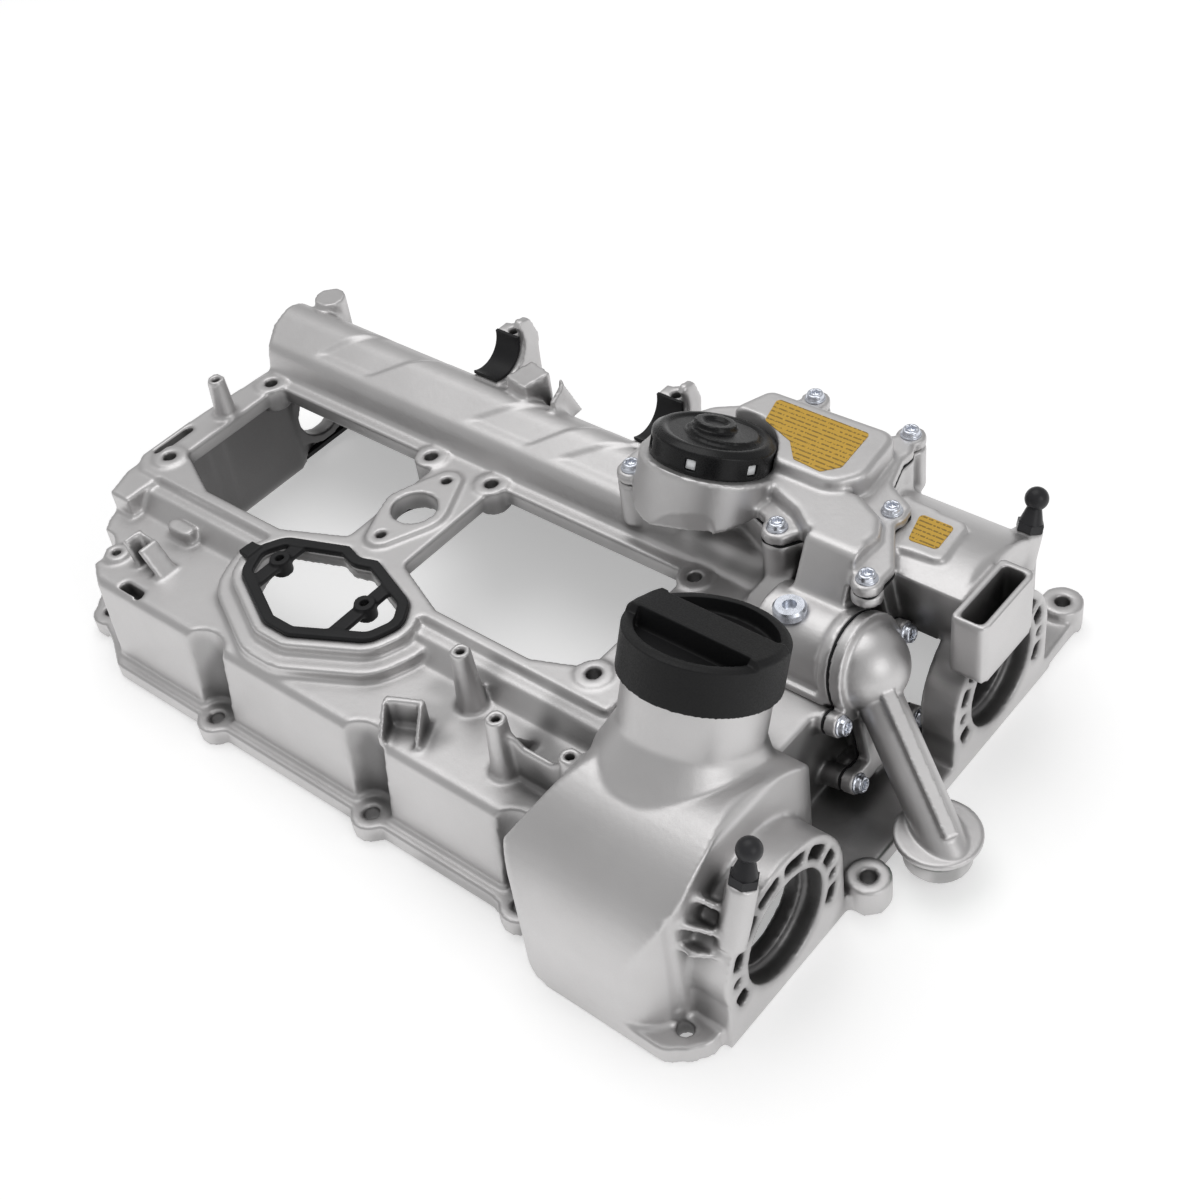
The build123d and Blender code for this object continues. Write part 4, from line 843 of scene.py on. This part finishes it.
class COVER_OT_regulator(Operator):
    """Regulator's lid with rounded moulded edges and its relief, six pale clips and the spring below."""

    bl_idname = "cover.regulator"
    bl_label = "Pressure regulator"

    def execute(self, context):
        voxel = context.scene.cover_plastic.voxel
        skin = softened("regulator_skin", "regulator_cap", voxel, 1)
        turn = np.stack(leaning(REGULATOR_LEAN), 1)
        seat = REGULATOR_SEAT + SHIFT
        local = (points_of(skin.data) - seat) @ turn / MM
        x, y, z = local.T
        reach = np.hypot(x, y)
        crown_x, crown_y = x - CROWN_XY[0], y - CROWN_XY[1]
        crown = np.hypot(crown_x, crown_y)
        knob = np.hypot(x - KNOB_XY[0], y - KNOB_XY[1])
        ramp = (np.arctan2(crown_y, crown_x) / (2 * np.pi) + 0.5) * RAMP_RISE
        top = np.clip((z - LID_TOP) / LID_EDGE, 0, 1)
        dish = np.clip((DISH_R - reach) / DISH_EDGE, 0, 1)
        dish *= np.clip((crown - CROWN_FOOT_R) / CROWN_EDGE, 0, 1)
        local[:, 2] -= top * (DISH_DEEP * dish + ramp * (crown < CROWN_R) * (knob > KNOB_R))
        local[:, 2] -= (z > KNOB_TOP) * HOLLOW_DEEP * np.clip((HOLLOW_R - knob) / HOLLOW_EDGE, 0, 1)
        placed(skin.data, evened((local * MM) @ turn.T + seat, edges_of(skin.data), 2))
        dressed(skin, "cover", "satin_black_plastic", ("regulator_cap",))
        clouds, faces = [], []
        for index in range(CLIPS):
            middle = np.radians(360 / CLIPS * index + CLIP_FIRST)
            cloud, quads = curved_plate(*CLIP_R, middle, CLIP_HALF, *CLIP_Z)
            clouds.append((cloud * MM) @ turn.T + seat)
            faces.append(quads + index * len(cloud))
        clips = made("regulator_clips", np.concatenate(clouds), np.concatenate(faces))
        cleaned(clips.data)
        dressed(clips, "cover", "black_plastic", material="clear_window")
        cloud, faces = wound(SPRING_R, SPRING_WIRE, SPRING_LOW, SPRING_HIGH, SPRING_PITCH)
        spring = made("regulator_coil", inside_box((cloud * MM) @ turn.T + seat, "regulator_spring"), faces)
        cleaned(spring.data)
        dressed(spring, "cover", "spring_steel", ("regulator_spring",))
        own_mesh(spring)
        return {"FINISHED"}


class COVER_OT_seals(Operator):
    """Moulded centre seal with rounded edges."""

    bl_idname = "cover.seals"
    bl_label = "Seals"

    def execute(self, context):
        seal = softened("centre_seal_skin", "centre_seal", context.scene.cover_plastic.voxel, 3)
        dressed(seal, "cover", "black_rubber", ("centre_seal",))
        return {"FINISHED"}


class COVER_OT_screws(Operator):
    """Flanged screws with six-lobed sockets, turned from a profile."""

    bl_idname = "cover.screws"
    bl_label = "Screws"

    def execute(self, context):
        size = context.scene.cover_fasteners
        flange, head, high = size.flange_radius, size.head_radius, size.head_height
        socket, foot = size.socket_radius, 0.00035
        profile = [(0.0, high - 0.0017), (socket * 0.92, high - 0.0017), (socket * 0.98, high - 0.0015),
                   (socket, high - 0.0002), (socket * 1.12, high), (head - 0.0007, high),
                   (head - 0.0002, high - 0.0003), (head, high - 0.0009), (head + 0.0001, 0.0012),
                   (head + 0.0004, 0.0008), (flange - 0.0002, 0.0007), (flange, foot), (flange - 0.0001, 0.0),
                   (0.0026, 0.0), (0.0025, -0.002), (0.0025, -0.009), (0.0, -0.0095)]
        lobes = [0, 0.13, 0.13, 0.13, 0.12, 0, 0, 0, 0, 0, 0, 0, 0, 0, 0, 0, 0]
        points, quads = turned(profile[::-1], 48, lobes[::-1])
        for node in ("housing_screws", "outlet_screws"):
            clouds, faces = [], []
            for index, (origin, axis) in enumerate(screw_places(node)):
                across = X_AXIS - axis * axis[0]
                across /= np.linalg.norm(across)
                clouds.append(leaned(points, origin, across, axis))
                faces.append(quads + index * len(points))
            obj = made(node + "_turned", np.concatenate(clouds), np.concatenate(faces))
            cleaned(obj.data)
            dressed(obj, "cover", "zinc_steel", (node,))
        return {"FINISHED"}


def cleaned(mesh):
    """Merges the doubled points at the poles and drops the faces that close up there."""
    joined = bmesh.new()
    joined.from_mesh(mesh)
    bmesh.ops.remove_doubles(joined, verts=joined.verts, dist=1e-7)
    bmesh.ops.dissolve_degenerate(joined, edges=joined.edges, dist=1e-8)
    bmesh.ops.recalc_face_normals(joined, faces=joined.faces)
    joined.to_mesh(mesh)
    joined.free()
    smooth_shaded(mesh)


def screw_places(node):
    """Seat point and axis of every screw in a node: the axis that its group stands on, and for each loose
    part the middle of its head's rim, taken back along the axis to the seat."""
    joined = joined_solid(frame["nodes"][node].data)
    joined.verts.index_update()
    seen = np.zeros(len(joined.verts), bool)
    groups = []
    for vert in joined.verts:
        if seen[vert.index]:
            continue
        seen[vert.index] = True
        stack, group = [vert], []
        while stack:
            here = stack.pop()
            group.append(here.co[:])
            for edge in here.link_edges:
                other = edge.other_vert(here)
                if not seen[other.index]:
                    seen[other.index] = True
                    stack.append(other)
        groups.append(np.array(group))
    joined.free()
    lean = np.radians(OUTLET_SCREW_LEAN)
    axis = Z_AXIS if node == "housing_screws" else np.array([np.cos(lean), 0.0, np.sin(lean)])
    places = []
    for group in groups:
        along = group @ axis
        rim = group[along > along.max() - RIM_BAND].mean(0)
        places.append((rim - axis * HEAD_SEAT, axis))
    return places


class COVER_OT_finishes(Operator):
    """Finishes of the CAD pieces that are shown as they are."""

    bl_idname = "cover.finishes"
    bl_label = "Finishes"

    def execute(self, context):
        slots = {part["node"]: part["material_slot"] for part in frame["record"]["subparts"]}
        for node, obj in frame["nodes"].items():
            material = finish(slots[node])
            obj.data.materials.clear()
            obj.data.materials.append(material)
        return {"FINISHED"}


class COVER_OT_stage(Operator):
    """Floor, surroundings, lights and the camera."""

    bl_idname = "cover.stage"
    bl_label = "Stage"

    def execute(self, context):
        size = context.scene.cover_stage
        make_floor(size)
        make_world(size)
        make_lights(size)
        make_camera()
        context.scene.view_settings.view_transform = "Standard"
        return {"FINISHED"}


def make_floor(size):
    """A wide flat floor with a pale finish that keeps the shadow."""
    span = np.array([-1.0, 1.0])
    x, y = np.meshgrid(span * FLOOR_HALF, span * FLOOR_HALF)
    points = np.stack([x, y, np.full_like(x, FLOOR_Z)], -1).reshape(-1, 3)
    floor = made("floor", points, np.array([[0, 1, 3, 2]]))
    material, tree, shader = node_material("floor")
    shader.inputs["Roughness"].default_value = 0.8
    shader.inputs["Base Color"].default_value = (*size.floor_colour, 1)
    shader.inputs["Emission Color"].default_value = (1, 1, 1, 1)
    shader.inputs["Emission Strength"].default_value = FLOOR_GLOW
    floor.data.materials.append(material)


def make_world(size):
    """Pale surroundings: white to the camera and softer on the object."""
    world = bpy.data.worlds.new("studio")
    world.use_nodes = True
    bpy.context.scene.world = world
    tree = world.node_tree
    back = tree.nodes["Background"]
    out = tree.nodes["World Output"]
    back.inputs["Color"].default_value = (1, 1, 1, 1)
    back.inputs["Strength"].default_value = size.world
    white = added(tree, "ShaderNodeBackground")
    white.inputs["Strength"].default_value = 1.0
    path = added(tree, "ShaderNodeLightPath")
    mix = added(tree, "ShaderNodeMixShader")
    tree.links.new(path.outputs["Is Camera Ray"], mix.inputs["Fac"])
    tree.links.new(back.outputs["Background"], mix.inputs[1])
    tree.links.new(white.outputs["Background"], mix.inputs[2])
    tree.links.new(mix.outputs["Shader"], out.inputs["Surface"])


def make_lights(size):
    """Two large soft lights aimed at the object."""
    for name, place, power, width in (("key", KEY_PLACE, size.key_power, KEY_WIDTH),
                                      ("fill", FILL_PLACE, size.fill_power, FILL_WIDTH)):
        lamp = bpy.data.lights.new(name, "AREA")
        lamp.shape = "SQUARE"
        lamp.size = width
        lamp.energy = power
        linked(name, lamp).matrix_world = facing(place, LIGHT_AIM - np.array(place))


def facing(place, aim):
    """Matrix of an object at a place whose -Z looks along aim."""
    back = -aim / np.linalg.norm(aim)
    right = np.cross(Z_AXIS, back)
    right /= np.linalg.norm(right)
    return matrix_of(right, np.cross(back, right), back, place)


def matrix_of(right, up, back, place):
    """Matrix of an object at a place whose own axes point right, up and back."""
    matrix = np.eye(4)
    matrix[:3, :3] = np.stack([right, up, back], 1)
    matrix[:3, 3] = place
    return Matrix(matrix.tolist())


def make_camera():
    """Camera at the photograph's viewpoint, from the heading, dip and roll of its view."""
    heading, dip, roll = np.radians(VIEW_ANGLES)
    forward = np.array([np.cos(heading) * np.cos(dip), np.sin(heading) * np.cos(dip), -np.sin(dip)])
    level = np.array([np.sin(heading), -np.cos(heading), 0.0])
    upward = np.cross(level, forward)
    right = np.cos(roll) * level + np.sin(roll) * upward
    up = np.cos(roll) * upward - np.sin(roll) * level
    lens = bpy.data.cameras.new("camera")
    lens.lens = LENS
    lens.sensor_width = SENSOR
    lens.clip_start = 0.01
    camera = linked("camera", lens)
    camera.matrix_world = matrix_of(right, up, -forward, VIEW_PLACE + SHIFT)
    bpy.context.scene.camera = camera


OPERATORS = (COVER_OT_stage, COVER_OT_finishes, COVER_OT_casting, COVER_OT_housing, COVER_OT_cap,
             COVER_OT_regulator, COVER_OT_seals, COVER_OT_screws)


class COVER_PT_panel(Panel):
    """Lists the pieces of the valve cover and their sizes."""

    bl_label = "Valve cover"
    bl_idname = "COVER_PT_panel"
    bl_space_type = "VIEW_3D"
    bl_region_type = "UI"
    bl_category = "Valve cover"

    def draw(self, context):
        scene = context.scene
        for group in (scene.cover_cast, scene.cover_plastic, scene.cover_fasteners, scene.cover_stage):
            box = self.layout.box()
            for key in group.bl_rna.properties.keys():
                if key not in ("rna_type", "name"):
                    box.prop(group, key)
        for operator in OPERATORS:
            self.layout.operator(operator.bl_idname)


GROUPS = {"cover_cast": CastSizes, "cover_plastic": PlasticSizes, "cover_fasteners": FastenerSizes,
          "cover_stage": StageSizes}


def register():
    """Registers the groups, operators and panel."""
    for key, group in GROUPS.items():
        bpy.utils.register_class(group)
        setattr(bpy.types.Scene, key, PointerProperty(type=group))
    for operator in OPERATORS:
        bpy.utils.register_class(operator)
    bpy.utils.register_class(COVER_PT_panel)


def unregister():
    """Takes them away again."""
    bpy.utils.unregister_class(COVER_PT_panel)
    for operator in reversed(OPERATORS):
        bpy.utils.unregister_class(operator)
    for key, group in GROUPS.items():
        delattr(bpy.types.Scene, key)
        bpy.utils.unregister_class(group)


def main():
    """Builds the whole part, from the stage to the last screw."""
    register()
    bpy.ops.cover.stage()
    bpy.ops.cover.finishes()
    bpy.ops.cover.casting()
    bpy.ops.cover.housing()
    bpy.ops.cover.cap()
    bpy.ops.cover.regulator()
    bpy.ops.cover.seals()
    bpy.ops.cover.screws()


if __name__ == "__main__":
    main()
